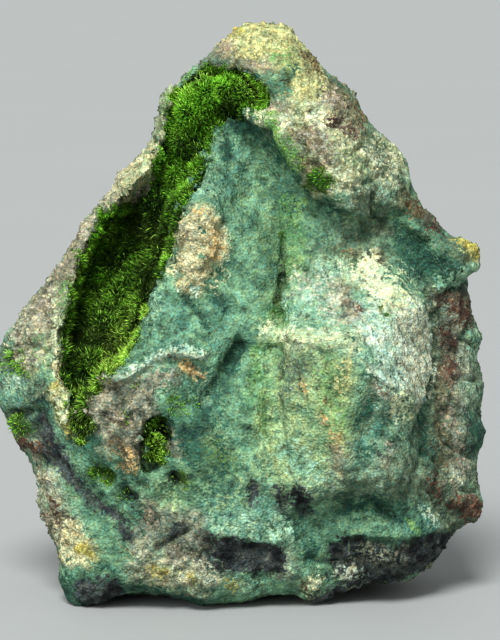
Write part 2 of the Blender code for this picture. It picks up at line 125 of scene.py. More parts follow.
def alongPath(path, across, up):
    # distance to a path on the view, how far left of its line a place is, and the path's other values there;
    # a path of one place becomes a very short line
    path = np.atleast_2d(np.asarray(path, float))
    if len(path) == 1:
        path = np.vstack((path, path + 1e-6))
    best = np.full(across.shape, np.inf)
    side = np.zeros(across.shape)
    values = np.zeros(across.shape + (path.shape[1] - 2,))
    for start, end in zip(path[:-1], path[1:]):
        run = end[:2] - start[:2]
        share = ((across - start[0]) * run[0] + (up - start[1]) * run[1]) / run.dot(run)
        share = np.clip(share, 0.0, 1.0)
        distance = np.hypot(across - start[0] - share * run[0], up - start[1] - share * run[1])
        nearer = distance < best
        best = np.where(nearer, distance, best)
        left = (run[0] * (up - start[1]) - run[1] * (across - start[0])) / np.hypot(*run)
        side = np.where(nearer, left, side)
        values = np.where(nearer[..., None], start[2:] + share[..., None] * (end[2:] - start[2:]), values)
    return best, side, values


def mergedCopy(name, node):
    # a copy of a CAD node's mesh with its loose triangles joined where corners are within 2 micrometres
    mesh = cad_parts[node].data.copy()
    mesh.name = name
    work = bmesh.new()
    work.from_mesh(mesh)
    bmesh.ops.remove_doubles(work, verts=work.verts, dist=2e-6)
    work.to_mesh(mesh)
    work.free()
    thing = bpy.data.objects.new(name, mesh)
    bpy.context.scene.collection.objects.link(thing)
    return thing


def applied(thing):
    # the modifiers' result becomes the object's own mesh
    evaluated = thing.evaluated_get(bpy.context.evaluated_depsgraph_get())
    mesh = bpy.data.meshes.new_from_object(evaluated)
    thing.modifiers.clear()
    old = thing.data
    thing.data = mesh
    bpy.data.meshes.remove(old)
    return thing


def evened(thing, voxel):
    # the same solid in even four-cornered faces of the voxel's size in mm
    even = thing.modifiers.new("even", "REMESH")
    even.mode = "VOXEL"
    even.voxel_size = voxel * mm
    return applied(thing)


def thinned(thing, chosen, keep):
    # faces at the chosen points are collapsed into larger ones until the share of them to keep is left
    group = thing.vertex_groups.new(name="thinned")
    group.add(np.flatnonzero(chosen).tolist(), 1.0, "REPLACE")
    thin = thing.modifiers.new("thin", "DECIMATE")
    thin.ratio = 1.0 - (1.0 - keep) * float(np.mean(chosen))
    thin.vertex_group = "thinned"
    applied(thing)
    thing.vertex_groups.clear()
    return thing


def readPoints(mesh):
    # the mesh's points as rows of x, y, z in mm
    points = np.empty(len(mesh.vertices) * 3)
    mesh.vertices.foreach_get("co", points)
    return points.reshape(-1, 3) / mm


def readTriangles(mesh):
    # every face cut into triangles, as rows of three point numbers
    mesh.calc_loop_triangles()
    corners = np.empty(len(mesh.loop_triangles) * 3, np.int32)
    mesh.loop_triangles.foreach_get("vertices", corners)
    return corners.reshape(-1, 3)


def readEdges(mesh):
    # the two point numbers of each edge
    ends = np.empty(len(mesh.edges) * 2, np.int32)
    mesh.edges.foreach_get("vertices", ends)
    return ends.reshape(-1, 2)


def pointNormals(points, triangles):
    # the mean of the cross products of the triangles round each point
    corner = points[triangles]
    across = np.cross(corner[:, 1] - corner[:, 0], corner[:, 2] - corner[:, 0])
    total = np.zeros_like(points)
    for column in range(3):
        for axis in range(3):
            total[:, axis] += np.bincount(triangles[:, column], across[:, axis], len(points))
    return unit(total)


def relaxed(points, edges, rounds, share):
    # each point moves by a share of the way to the mean of its neighbours, a few times over
    count = np.bincount(edges.ravel(), minlength=len(points))[:, None]
    for _ in range(rounds):
        total = np.zeros_like(points)
        for axis in range(3):
            total[:, axis] = np.bincount(edges[:, 0], points[edges[:, 1], axis], len(points))
            total[:, axis] += np.bincount(edges[:, 1], points[edges[:, 0], axis], len(points))
        points = points + share * (total / np.maximum(count, 1) - points)
    return points


def writePoints(mesh, points):
    # rows of x, y, z in mm back into the mesh
    mesh.vertices.foreach_set("co", (points * mm).astype(np.float32).ravel())
    mesh.update()


def writeValues(mesh, name, values):
    # a value or a colour for each point, as an attribute that the material reads
    if values.ndim == 1:
        mesh.attributes.new(name, "FLOAT", "POINT").data.foreach_set("value", values.astype(np.float32))
        return
    padded = np.column_stack((values, np.ones(len(values)))).astype(np.float32)
    mesh.attributes.new(name, "FLOAT_COLOR", "POINT").data.foreach_set("color", padded.ravel())


def trianglePiece(name, points, triangles):
    # a new object from points in mm and rows of three point numbers
    mesh = bpy.data.meshes.new(name)
    mesh.vertices.add(len(points))
    mesh.vertices.foreach_set("co", (points * mm).astype(np.float32).ravel())
    mesh.loops.add(triangles.size)
    mesh.loops.foreach_set("vertex_index", triangles.astype(np.int32).ravel())
    mesh.polygons.add(len(triangles))
    mesh.polygons.foreach_set("loop_start", np.arange(0, triangles.size, 3, dtype=np.int32))
    mesh.update(calc_edges=True)
    thing = bpy.data.objects.new(name, mesh)
    bpy.context.scene.collection.objects.link(thing)
    return thing


def smoothShaded(mesh):
    # light runs evenly over all faces
    mesh.polygons.foreach_set("use_smooth", np.ones(len(mesh.polygons), bool))
    mesh.update()


def linear(tone):
    # a tone from 0 to 255 as a screen shows it, to the share of light it gives back, by the screen's curve
    share = np.asarray(tone, float) / 255.0
    return np.where(share <= 0.04045, share / 12.92, ((share + 0.055) / 1.055) ** 2.4)


def newMaterial(name):
    # an empty finish: the material, its node tree and its main shader
    material = bpy.data.materials.new(name)
    material.use_nodes = True
    return material, material.node_tree, material.node_tree.nodes["Principled BSDF"]


def addNode(tree, kind, settings=None, **inputs):
    # a shader node with its settings; an input is named, or i and its number, and takes a value or a link
    node = tree.nodes.new(kind)
    for key, value in (settings or {}).items():
        setattr(node, key, value)
    for key, value in inputs.items():
        socket = node.inputs[int(key[1:])] if key[0] == "i" and key[1:].isdigit() else node.inputs[key]
        if isinstance(value, bpy.types.NodeSocket):
            tree.links.new(value, socket)
        else:
            socket.default_value = value
    return node


def mathNode(tree, operation, first, second=None):
    # one sum, product or the like of a link with a link or a value
    node = addNode(tree, "ShaderNodeMath", {"operation": operation}, i0=first)
    if isinstance(second, bpy.types.NodeSocket):
        tree.links.new(second, node.inputs[1])
    elif second is not None:
        node.inputs[1].default_value = second
    return node.outputs[0]


def mixColours(tree, share, first, second, blend="MIX"):
    # the first colour turned into the second, or blended with it, by a share
    node = tree.nodes.new("ShaderNodeMix")
    node.data_type = "RGBA"
    node.blend_type = blend
    for socket, value in ((node.inputs[0], share), (node.inputs[6], first), (node.inputs[7], second)):
        if isinstance(value, bpy.types.NodeSocket):
            tree.links.new(value, socket)
        else:
            socket.default_value = value
    return node.outputs[2]


def spread(tree, value, low, high, outLow=0.0, outHigh=1.0):
    # low to high stretched to outLow to outHigh, held at the ends
    node = tree.nodes.new("ShaderNodeMapRange")
    tree.links.new(value, node.inputs[0])
    for number, limit in enumerate((low, high, outLow, outHigh), 1):
        node.inputs[number].default_value = limit
    return node.outputs[0]


def makeGroup(name, inputs, outputs):
    # a shader node group with its inputs (label, kind, value) and outputs (label, kind)
    group = bpy.data.node_groups.new(name, "ShaderNodeTree")
    for label, kind, value in inputs:
        socket = group.interface.new_socket(name=label, in_out="INPUT", socket_type=kind)
        if value is not None:
            socket.default_value = value
    for label, kind in outputs:
        group.interface.new_socket(name=label, in_out="OUTPUT", socket_type=kind)
    return group, group.nodes.new("NodeGroupInput"), group.nodes.new("NodeGroupOutput")


# Earthy crust, scales per metre: fine powder, coarse patches, pebbles and the drift of hue; how far pebbles
# are bent in m, the fine powder's share, how strongly light and dark part, what pits keep of their light, the
# pebbles' relief, and the ranges that each of them is stretched from and to; the darkening of the pits and of
# the gaps between pebbles is painted shade
earth = {
    "fineScale": 3600.0, "coarseScale": 1150.0, "pebbleScale": 3600.0, "hueScale": 1900.0, "bend": 0.00009,
    "fineShare": 0.4, "contrast": 0.62, "pitLight": 0.42, "pebbleHeight": -0.3, "even": (0.36, 0.64),
    "gapReach": (0.12, 0.72), "gapLight": (0.5, -0.9), "gapByGrain": (0.75, 1.1), "ownLight": (-0.7, 0.7),
    "ownByGrain": (0.12, 0.8), "grainRange": (0.1, 0.9), "pitRange": (0.36, 0.45),
    "warmer": (1.16, 1.03, 0.86, 1.0), "cooler": (0.87, 0.99, 1.04, 1.0),
}


def makeSpeckleAndPitShadeGroup():
    # a tone times 2 to the power of its light: powder, pebbles with gaps darkened by painted shade and each
    # pebble's own light are added up, pits darken it with painted shade, and a slow noise drifts its hue; all
    # from noises and cells in object space
    group, given, made = makeGroup(
        "speckleAndPaintedPitShade",
        [("Tone", "NodeSocketColor", (0.5, 0.5, 0.5, 1.0)), ("Grainy", "NodeSocketFloat", 0.0),
         ("Contrast", "NodeSocketFloat", 1.0)],
        [("Tone", "NodeSocketColor"), ("Height", "NodeSocketFloat")])
    grainy = given.outputs["Grainy"]
    place = addNode(group, "ShaderNodeTexCoord").outputs["Object"]
    fine = addNode(group, "ShaderNodeTexNoise", None, Vector=place, Scale=earth["fineScale"], Detail=2.0,
                   Roughness=0.6)
    coarse = addNode(group, "ShaderNodeTexNoise", None, Vector=place, Scale=earth["coarseScale"], Detail=5.0,
                     Roughness=0.75).outputs[0]
    # the cells are bent by the fine noise, so that no two pebbles are alike
    bend = addNode(group, "ShaderNodeVectorMath", {"operation": "SCALE"}, Vector=fine.outputs["Color"],
                   Scale=earth["bend"])
    bent = addNode(group, "ShaderNodeVectorMath", {"operation": "ADD"}, i0=place, i1=bend.outputs[0])
    pebble = addNode(group, "ShaderNodeTexVoronoi", {"feature": "F1"}, Vector=bent.outputs[0],
                     Scale=earth["pebbleScale"], Randomness=1.0)
    pebbleTone = addNode(group, "ShaderNodeSeparateColor", i0=pebble.outputs["Color"]).outputs[0]
    mixed = mathNode(group, "ADD", mathNode(group, "MULTIPLY", fine.outputs[0], earth["fineShare"]),
                     mathNode(group, "MULTIPLY", coarse, 1.0 - earth["fineShare"]))
    light = spread(group, mixed, *earth["even"], -1.0, 1.0)
    # the pebbles' gaps darkened by painted shade
    gaps = mathNode(group, "MULTIPLY",
                    spread(group, pebble.outputs["Distance"], *earth["gapReach"], *earth["gapLight"]),
                    spread(group, grainy, *earth["grainRange"], *earth["gapByGrain"]))
    own = mathNode(group, "MULTIPLY", spread(group, pebbleTone, 0.0, 1.0, *earth["ownLight"]),
                   spread(group, grainy, *earth["grainRange"], *earth["ownByGrain"]))
    light = mathNode(group, "ADD", mathNode(group, "ADD", light, gaps), own)
    light = mathNode(group, "MULTIPLY", light, given.outputs["Contrast"])
    factor = mathNode(group, "POWER", 2.0, mathNode(group, "MULTIPLY", light, earth["contrast"]))
    # the pits darkened by painted shade
    pits = spread(group, coarse, *earth["pitRange"], earth["pitLight"], 1.0)
    factor = mathNode(group, "MULTIPLY", factor, pits)
    shade = addNode(group, "ShaderNodeCombineColor", i0=factor, i1=factor, i2=factor).outputs[0]
    toned = mixColours(group, 1.0, given.outputs["Tone"], shade, "MULTIPLY")
    hue = addNode(group, "ShaderNodeTexNoise", None, Vector=place, Scale=earth["hueScale"], Detail=2.0,
                  Roughness=0.6)
    warmth = addNode(group, "ShaderNodeSeparateColor", i0=hue.outputs["Color"]).outputs[0]
    warmer = mixColours(group, 1.0, toned, earth["warmer"], "MULTIPLY")
    cooler = mixColours(group, 1.0, toned, earth["cooler"], "MULTIPLY")
    drifted = mixColours(group, spread(group, warmth, *earth["even"]), cooler, warmer)
    group.links.new(drifted, made.inputs["Tone"])
    pebbleHeight = mathNode(group, "MULTIPLY", pebble.outputs["Distance"], earth["pebbleHeight"])
    group.links.new(mathNode(group, "ADD", mixed, pebbleHeight), made.inputs["Height"])
    return group


speckleAndPitShadeGroup = makeSpeckleAndPitShadeGroup()

# Each mineral: its tone, the tone it is mottled with, how grainy it is, and how rough in mm
minerals = {
    "teal": {"tone": (116, 160, 127), "mottle": (75, 115, 92), "grain": 0.15, "rough": 0.05},
    "deepTeal": {"tone": (52, 96, 78), "mottle": (36, 70, 58), "grain": 0.1, "rough": 0.04},
    "blueTeal": {"tone": (102, 154, 134), "mottle": (70, 118, 102), "grain": 0.15, "rough": 0.05},
    "mossTeal": {"tone": (108, 140, 100), "mottle": (70, 104, 76), "grain": 0.2, "rough": 0.06},
    "mint": {"tone": (156, 194, 164), "mottle": (112, 156, 128), "grain": 0.2, "rough": 0.06},
    "whiteMint": {"tone": (206, 224, 202), "mottle": (154, 190, 168), "grain": 0.2, "rough": 0.06},
    "cream": {"tone": (234, 238, 198), "mottle": (182, 194, 150), "grain": 0.8, "rough": 0.23},
    "paleGrey": {"tone": (192, 200, 176), "mottle": (148, 160, 138), "grain": 0.35, "rough": 0.08},
    "straw": {"tone": (212, 214, 150), "mottle": (168, 172, 122), "grain": 0.7, "rough": 0.18},
    "yellow": {"tone": (202, 192, 94), "mottle": (168, 164, 102), "grain": 0.8, "rough": 0.14},
    "lime": {"tone": (132, 172, 104), "mottle": (92, 140, 80), "grain": 0.35, "rough": 0.07},
    "oliveLime": {"tone": (152, 178, 128), "mottle": (112, 144, 108), "grain": 0.3, "rough": 0.07},
    "moss": {"tone": (78, 112, 42), "mottle": (48, 82, 30), "grain": 0.3, "rough": 0.1},
    "tan": {"tone": (236, 232, 186), "mottle": (196, 192, 148), "grain": 0.65, "rough": 0.18},
    "orange": {"tone": (212, 178, 118), "mottle": (190, 168, 122), "grain": 0.6, "rough": 0.12},
    "rust": {"tone": (112, 80, 64), "mottle": (70, 54, 45), "grain": 0.7, "rough": 0.14},
    "maroon": {"tone": (76, 56, 48), "mottle": (120, 100, 86), "grain": 0.8, "rough": 0.16},
    "greyPink": {"tone": (178, 164, 146), "mottle": (136, 132, 112), "grain": 0.8, "rough": 0.14},
    "rimGrey": {"tone": (192, 190, 164), "mottle": (134, 138, 114), "grain": 0.9, "rough": 0.23},
    "lumpGrey": {"tone": (168, 168, 146), "mottle": (96, 104, 88), "grain": 0.85, "rough": 0.2},
    "greyGreen": {"tone": (112, 130, 108), "mottle": (76, 96, 76), "grain": 0.45, "rough": 0.14},
    "brown": {"tone": (134, 118, 84), "mottle": (98, 88, 62), "grain": 0.8, "rough": 0.15},
    "black": {"tone": (74, 83, 82), "mottle": (29, 34, 36), "grain": 0.7, "rough": 0.12},
    "paleCream": {"tone": (222, 230, 190), "mottle": (182, 202, 160), "grain": 0.25, "rough": 0.06},
    # the crust's ground: its own deep green, darkened further as painted shade deep among the needles
    "bed": {"tone": (30, 62, 14), "mottle": (18, 40, 8), "grain": 0.1, "rough": 0.1},
}

# Stains in the order they are laid: mineral, half width, softness, strength, path over the view in mm
stains = (
    # grey-green of the right flank, valley and lower parts
    ("greyGreen", 3.2, 1.2, 0.9, ((19.5, 4.0), (20.5, -4.0), (20.5, -12.0), (20.5, -20.0))),
    ("greyGreen", 1.6, 1.0, 0.8, ((16.8, -12.0), (16.4, -18.0))),
    ("paleGrey", 0.8, 0.8, 0.7, ((20.4, 2.0), (21.4, -6.0), (21.0, -13.0), (20.8, -16.0))),
    ("brown", 0.7, 0.8, 0.55, ((18.8, -5.0), (18.9, -10.0), (19.6, -14.0))),
    ("deepTeal", 1.0, 0.9, 0.8, ((17.6, -5.0), (17.0, -9.5), (17.4, -13.5))),
    ("rust", 1.2, 0.7, 0.85, ((19.4, 3.0), (20.6, 1.8), (21.2, 0.2))),
    ("rust", 0.9, 0.6, 0.8, ((19.4, -1.6), (20.0, -2.3))),
    ("rust", 0.8, 0.6, 0.8, ((20.0, -4.6), (20.2, -5.6))),
    ("rust", 0.6, 0.6, 0.8, ((18.4, -16.2), (18.9, -17.8))),
    ("rust", 1.3, 0.7, 0.8, ((21.2, -18.6), (22.6, -19.4))),
    ("mint", 0.6, 0.7, 0.7, ((22.2, -1.2), (22.4, -3.6))),
    ("mint", 0.7, 0.8, 0.6, ((21.8, -6.6), (22.6, -8.0))),
    ("deepTeal", 0.9, 0.8, 0.85, ((21.6, -9.6), (22.8, -10.8), (22.0, -13.0))),
    ("greyPink", 0.6, 0.6, 0.55, ((20.0, -8.0), (20.8, -12.0), (21.4, -15.0))),
    # valley between the band and the bulge, facet and nub
    ("deepTeal", 1.5, 1.0, 0.6, ((9.0, 11.0), (12.0, 10.0), (15.0, 7.0))),
    ("teal", 2.6, 1.2, 0.6, ((12.0, 8.0), (15.5, 5.0))),
    ("greyGreen", 2.2, 1.2, 0.6, ((7.5, 8.0), (9.5, 9.0), (12.5, 6.5))),
    ("brown", 0.7, 0.8, 0.6, ((9.0, 7.0), (10.5, 6.3))),
    ("brown", 0.5, 0.5, 0.7, ((12.8, 6.4), (13.0, 4.8))),
    ("greyPink", 0.9, 0.9, 0.6, ((5.8, 7.2), (6.6, 5.6))),
    ("mint", 0.6, 0.6, 0.7, ((7.2, 11.4), (8.0, 9.4), (8.4, 8.0))),
    ("deepTeal", 2.2, 0.9, 0.95, ((16.6, 7.6), (18.6, 6.0), (19.6, 5.0))),
    ("teal", 0.5, 0.4, 0.9, ((15.6, 9.8), (18.0, 8.2), (20.4, 6.6))),
    ("greyGreen", 1.3, 0.7, 0.8, ((20.6, 7.4), (22.2, 6.4))),
    ("yellow", 1.0, 0.6, 0.95, ((21.6, 7.6), (22.6, 6.8))),
    ("mint", 0.6, 0.5, 0.8, ((19.0, 3.4), (20.6, 4.2), (22.2, 5.4))),
    ("maroon", 0.9, 0.5, 0.7, ((17.2, 10.8), (18.2, 9.8))),
    ("brown", 0.9, 0.7, 0.8, ((14.6, 13.0), (15.6, 11.6), (16.6, 10.6))),
    ("mint", 0.9, 0.6, 0.8, ((15.0, 16.0), (15.4, 14.6))),
    # tent: velvety teal, with painted shadow in deep teal under the band and at its apex
    ("teal", 6.5, 2.5, 1.0, ((0.0, 18.0), (2.0, 12.0), (0.0, 6.0), (-3.0, 0.0))),
    ("mossTeal", 1.8, 1.4, 0.4, ((1.4, 17.5), (1.8, 12.5), (1.4, 9.0))),
    ("mossTeal", 1.2, 1.0, 0.5, ((-1.6, 15.0), (-1.4, 12.0))),
    ("blueTeal", 0.8, 0.8, 0.7, ((-2.4, 12.8), (-1.6, 15.0), (-0.8, 16.6))),
    ("blueTeal", 0.9, 0.9, 0.5, ((3.6, 13.6), (4.4, 10.6))),
    # painted shadow under the band's overhang
    ("deepTeal", 0.9, 0.7, 0.95, ((-1.0, 19.6), (0.4, 19.0), (2.4, 18.6))),
    ("deepTeal", 1.0, 0.8, 0.9, ((2.8, 17.8), (5.2, 14.8), (8.4, 12.0))),
    ("blueTeal", 0.8, 0.6, 0.7, ((-6.2, 13.6), (-5.2, 13.0))),
    ("mint", 0.9, 0.7, 0.7, ((-4.8, 13.4), (-3.6, 13.0))),
    ("mint", 0.3, 0.4, 0.6, ((-3.2, 18.6), (-3.8, 16.6), (-4.2, 14.6))),
    ("deepTeal", 0.5, 0.5, 0.85, ((-2.2, 17.4), (-2.4, 16.2))),
    # centre and the ground below it
    ("teal", 4.5, 2.0, 1.0, ((-5.0, 1.5), (-7.0, -2.0), (-2.0, -6.0), (-4.0, -14.0), (4.0, -17.5))),
    ("blueTeal", 1.3, 1.2, 0.6, ((-8.4, 1.4), (-6.6, 0.2), (-7.6, -2.0))),
    ("blueTeal", 1.2, 1.2, 0.55, ((-2.8, 1.0), (-3.4, -3.0))),
    ("mint", 0.8, 1.0, 0.55, ((-9.6, 4.0), (-9.0, 2.4), (-10.2, 0.6))),
    # deep teal along the small cracks and the diagonal crevice: painted shade in them
    ("deepTeal", 0.5, 0.5, 0.85, ((-6.0, 1.9), (-4.8, 0.6), (-4.4, -0.6))),
    ("deepTeal", 0.5, 0.5, 0.7, ((-3.6, 2.4), (-2.6, 1.2))),
    ("deepTeal", 1.0, 0.9, 0.85, ((-1.0, -2.6), (-2.6, -5.4), (-4.6, -8.0), (-5.0, -9.6))),
    ("mint", 0.5, 0.6, 0.8, ((-15.4, -6.2), (-12.0, -5.2), (-9.0, -3.9))),
    ("whiteMint", 0.42, 0.4, 0.95,
     ((-14.5, -6.5), (-12.0, -5.3), (-9.4, -3.7), (-7.8, -3.2), (-6.2, -3.2), (-4.7, -3.6))),
    ("rust", 0.2, 0.2, 0.8, ((-8.0, -3.6), (-7.2, -3.8))),
    ("mint", 0.5, 0.4, 0.8, ((-4.2, -6.0), (-4.6, -7.4))),
    ("mossTeal", 1.8, 1.3, 0.7, ((-3.4, -12.6), (-4.6, -15.2), (-8.0, -17.4))),
    ("oliveLime", 0.9, 0.8, 0.6, ((-3.6, -12.2), (-2.8, -13.6))),
    ("moss", 0.9, 0.8, 0.5, ((-4.2, -13.2), (-2.6, -14.2))),
    ("deepTeal", 2.8, 2.0, 0.4, ((-5.0, -8.0), (-4.6, -12.0), (-3.6, -17.0))),
    ("mint", 1.8, 1.6, 0.4, ((1.0, -18.0), (4.0, -17.0), (-1.0, -19.8))),
    ("blueTeal", 1.4, 1.2, 0.6, ((-3.6, -19.0), (0.6, -20.4), (3.6, -15.4))),
    ("oliveLime", 0.8, 0.8, 0.45, ((0.4, -14.4), (-1.0, -18.0), (-4.4, -18.6))),
    # lime strip with its crack, and the lime ground beside the bulge
    ("lime", 1.5, 0.9, 0.7, ((4.0, 11.0), (4.2, 7.4), (4.6, 3.6), (3.0, -0.6))),
    ("mossTeal", 0.9, 0.7, 0.7, ((2.4, 10.0), (2.2, 6.0), (1.8, 2.4))),
    ("lime", 0.9, 0.6, 0.75, ((4.8, 6.0), (4.4, 2.4))),
    ("mossTeal", 1.2, 0.8, 0.5, ((4.0, 9.0), (4.3, 6.0), (4.4, 3.0))),
    ("moss", 0.5, 0.4, 0.6, ((3.3, 8.6), (3.2, 5.0), (2.9, 1.6), (2.7, 0.6))),
    # black along the crack: painted shade in it
    ("black", 0.22, 0.25, 0.6, ((3.3, 7.2), (3.2, 4.0), (2.8, 2.0))),
    ("paleCream", 1.0, 0.8, 0.8, ((1.8, -1.2), (3.8, -2.0), (5.6, -2.4))),
    ("lime", 1.4, 0.9, 0.9, ((1.9, -3.4), (1.7, -6.4), (1.2, -8.8))),
    ("mint", 1.0, 1.0, 0.4, ((1.9, -3.4), (1.7, -6.4), (1.2, -8.8))),
    ("oliveLime", 1.0, 0.9, 0.7, ((1.2, -9.0), (1.6, -12.0), (2.4, -14.2))),
    ("moss", 0.5, 0.5, 0.7, ((1.2, -7.8), (1.6, -11.6))),
    # bulge: pale top, lime face, streaked right side
    ("mint", 3.6, 1.4, 0.95, ((8.0, 2.4), (11.0, 1.0), (14.0, -1.0))),
    ("mint", 2.4, 1.2, 0.9, ((6.2, 0.4), (9.0, -0.4), (13.2, -3.4))),
    ("paleGrey", 2.4, 1.2, 0.9, ((15.4, 0.2), (15.6, -4.0), (15.4, -7.2))),
    ("paleCream", 1.7, 1.0, 0.9, ((11.6, 4.6), (13.2, 3.2), (14.4, 2.4))),
    ("whiteMint", 1.4, 1.0, 0.85, ((11.4, 0.4), (13.4, -2.0), (13.6, -5.0))),
    ("paleCream", 1.1, 0.8, 0.8, ((4.0, -2.0), (7.0, -1.6), (10.2, -2.4))),
    ("greyPink", 0.9, 0.8, 0.6, ((9.0, 2.6), (10.0, 0.8))),
    ("rust", 0.42, 0.4, 0.8, ((9.8, 1.5), (10.9, 1.0))),
    ("brown", 0.35, 0.4, 0.6, ((9.2, 3.0), (10.6, 2.9))),
    ("moss", 0.3, 0.4, 0.6, ((12.9, 1.2), (13.7, 0.7))),
    ("deepTeal", 0.3, 0.3, 0.8, ((9.6, -1.7), (10.6, -2.0))),
    ("paleGrey", 1.4, 1.2, 0.5, ((5.4, 4.0), (7.6, 3.6), (8.0, 1.0))),
    ("oliveLime", 4.2, 1.6, 0.95, ((6.6, -6.4), (6.6, -11.4), (5.4, -13.8))),
    ("greyGreen", 1.2, 1.0, 0.6, ((3.6, -4.6), (5.4, -4.4), (4.0, -7.0))),
    ("lime", 1.6, 1.2, 0.5, ((8.2, -5.6), (8.2, -9.0), (9.0, -10.6))),
    ("straw", 1.0, 1.0, 0.5, ((9.6, -4.4), (9.2, -7.0))),
    ("mint", 1.3, 1.2, 0.7, ((3.8, -13.2), (6.8, -16.0), (10.4, -15.6))),
    ("orange", 0.35, 0.35, 0.75, ((5.4, -6.4), (5.5, -7.0))),
    ("orange", 0.4, 0.4, 0.8, ((7.2, -9.4), (7.4, -10.2))),
    ("orange", 0.5, 0.5, 0.8, ((8.4, -11.6), (8.6, -12.6))),
    ("greyPink", 0.7, 0.6, 0.7, ((8.8, -13.4), (8.6, -14.4))),
    ("orange", 0.3, 0.3, 0.7, ((9.2, -15.6), (9.3, -15.8))),
    ("rust", 0.25, 0.3, 0.6, ((7.6, -8.0), (8.0, -8.2))),
    ("greyGreen", 2.6, 1.4, 0.75, ((13.2, -7.8), (13.4, -11.0), (11.6, -14.0))),
    ("mint", 2.0, 1.6, 0.6, ((13.8, -8.4), (13.4, -12.0), (12.0, -15.0))),
    ("deepTeal", 0.7, 0.6, 0.8, ((13.8, -5.8), (11.8, -8.8), (10.6, -10.8))),
    ("blueTeal", 0.5, 0.4, 0.9, ((14.4, -9.6), (12.4, -11.4), (10.8, -12.6))),
    ("deepTeal", 0.6, 0.5, 0.8, ((14.6, -11.8), (12.6, -13.0), (11.4, -14.0))),
    ("greyPink", 0.7, 0.6, 0.75, ((12.8, -6.6), (13.6, -7.4))),
    ("greyPink", 0.6, 0.6, 0.6, ((14.0, -12.4), (13.4, -14.4))),
    ("whiteMint", 0.9, 0.8, 0.8, ((12.2, -5.4), (13.6, -6.4), (14.6, -6.0))),
    ("paleCream", 0.7, 0.6, 0.7, ((15.0, -8.0), (14.6, -9.4))),
    ("greyGreen", 1.6, 1.0, 0.7, ((15.4, -14.0), (13.0, -17.0), (8.0, -17.4))),
    # lower right: teal undercut, black underside
    ("teal", 2.0, 1.2, 0.9, ((6.0, -20.0), (10.0, -20.4), (16.0, -19.8))),
    # deep teal along the undercut's crease: painted shade
    ("deepTeal", 1.1, 0.8, 0.85, ((9.4, -18.8), (12.0, -18.6), (14.6, -19.4))),
    ("blueTeal", 1.1, 0.7, 0.85, ((15.4, -20.4), (18.4, -21.2))),
    ("lime", 0.4, 0.4, 0.8, ((15.8, -20.2), (16.4, -21.0))),
    ("whiteMint", 0.4, 0.4, 0.7, ((17.4, -18.8), (18.8, -20.8))),
    ("black", 1.9, 0.7, 0.95, ((9.4, -23.6), (11.6, -23.8), (14.0, -24.6), (18.2, -23.2))),
    ("lumpGrey", 1.0, 0.9, 0.45, ((11.8, -23.0), (15.0, -23.6))),
    ("black", 1.4, 0.5, 1.0, ((17.0, -24.0), (19.0, -22.4))),
    ("black", 0.9, 0.5, 1.0, ((6.4, -28.2), (10.0, -26.6), (14.0, -25.8))),
    ("paleGrey", 0.5, 0.5, 0.6, ((10.6, -25.2), (8.6, -25.6))),
    ("cream", 0.6, 0.5, 0.85, ((5.6, -27.0), (6.8, -26.0))),
    ("rust", 0.2, 0.2, 0.9, ((5.4, -26.6), (5.5, -26.8))),
    ("paleGrey", 1.0, 0.9, 0.6, ((3.6, -23.0), (3.4, -25.4))),
    ("black", 0.5, 0.4, 0.9, ((0.4, -16.4), (0.2, -18.2))),
    ("black", 0.4, 0.4, 0.9, ((2.8, -17.0), (3.4, -19.6))),
    ("black", 0.8, 0.5, 0.92, ((4.8, -17.6), (5.4, -18.8))),
    ("deepTeal", 1.3, 1.0, 0.75, ((4.4, -21.0), (5.6, -22.8))),
    # black band along the bottom
    ("mint", 1.4, 1.0, 0.8, ((-4.0, -20.8), (0.0, -21.0), (3.4, -22.0))),
    ("black", 2.0, 0.5, 0.98, ((-4.4, -23.0), (-1.6, -23.8), (2.0, -24.0))),
    ("black", 0.7, 0.5, 0.9, ((-5.0, -22.6), (-6.8, -21.6))),
    ("teal", 1.0, 0.6, 0.95, ((-5.6, -27.4), (-2.0, -27.0), (3.6, -26.8))),
    ("mint", 0.7, 0.6, 0.6, ((-7.0, -26.0), (-3.4, -26.4), (1.0, -26.4))),
    # left bottom: grey mass, cream, corner
    ("lumpGrey", 2.6, 1.0, 0.9, ((-10.8, -21.0), (-7.8, -21.4), (-7.0, -23.0))),
    ("deepTeal", 2.2, 1.4, 0.4, ((-10.8, -21.0), (-7.8, -21.4), (-7.0, -23.0))),
    ("black", 0.5, 0.5, 0.85, ((-9.2, -22.6), (-8.0, -22.0), (-6.8, -20.6))),
    ("greyPink", 0.6, 0.5, 0.8, ((-10.4, -19.2), (-9.6, -20.2))),
    ("greyPink", 0.7, 0.6, 0.7, ((-7.6, -23.2), (-6.2, -23.4))),
    ("rimGrey", 2.0, 1.0, 0.7, ((-11.4, -24.6), (-8.6, -25.4), (-5.6, -25.6))),
    ("cream", 1.0, 1.0, 0.5, ((-9.4, -25.0), (-6.0, -25.8))),
    ("yellow", 0.5, 0.5, 0.8, ((-9.6, -25.0), (-8.8, -25.4))),
    ("yellow", 0.4, 0.4, 0.8, ((-2.0, -26.2), (-1.6, -26.6))),
    ("yellow", 0.35, 0.4, 0.7, ((-6.0, -25.6), (-5.8, -25.8))),
    ("rimGrey", 1.4, 0.8, 0.95, ((-20.6, -12.6), (-20.4, -15.6), (-19.4, -18.4), (-18.6, -21.6))),
    ("mint", 0.6, 0.6, 0.6, ((-19.8, -14.4), (-18.6, -17.0))),
    ("rust", 0.8, 0.7, 0.75, ((-19.6, -18.0), (-18.8, -20.0))),
    ("tan", 1.5, 0.8, 0.9, ((-17.8, -21.4), (-16.6, -23.2), (-18.0, -24.0))),
    ("yellow", 0.9, 0.5, 0.95, ((-16.8, -22.6), (-15.9, -23.4))),
    ("yellow", 0.6, 0.4, 0.9, ((-13.9, -22.8), (-13.2, -23.2))),
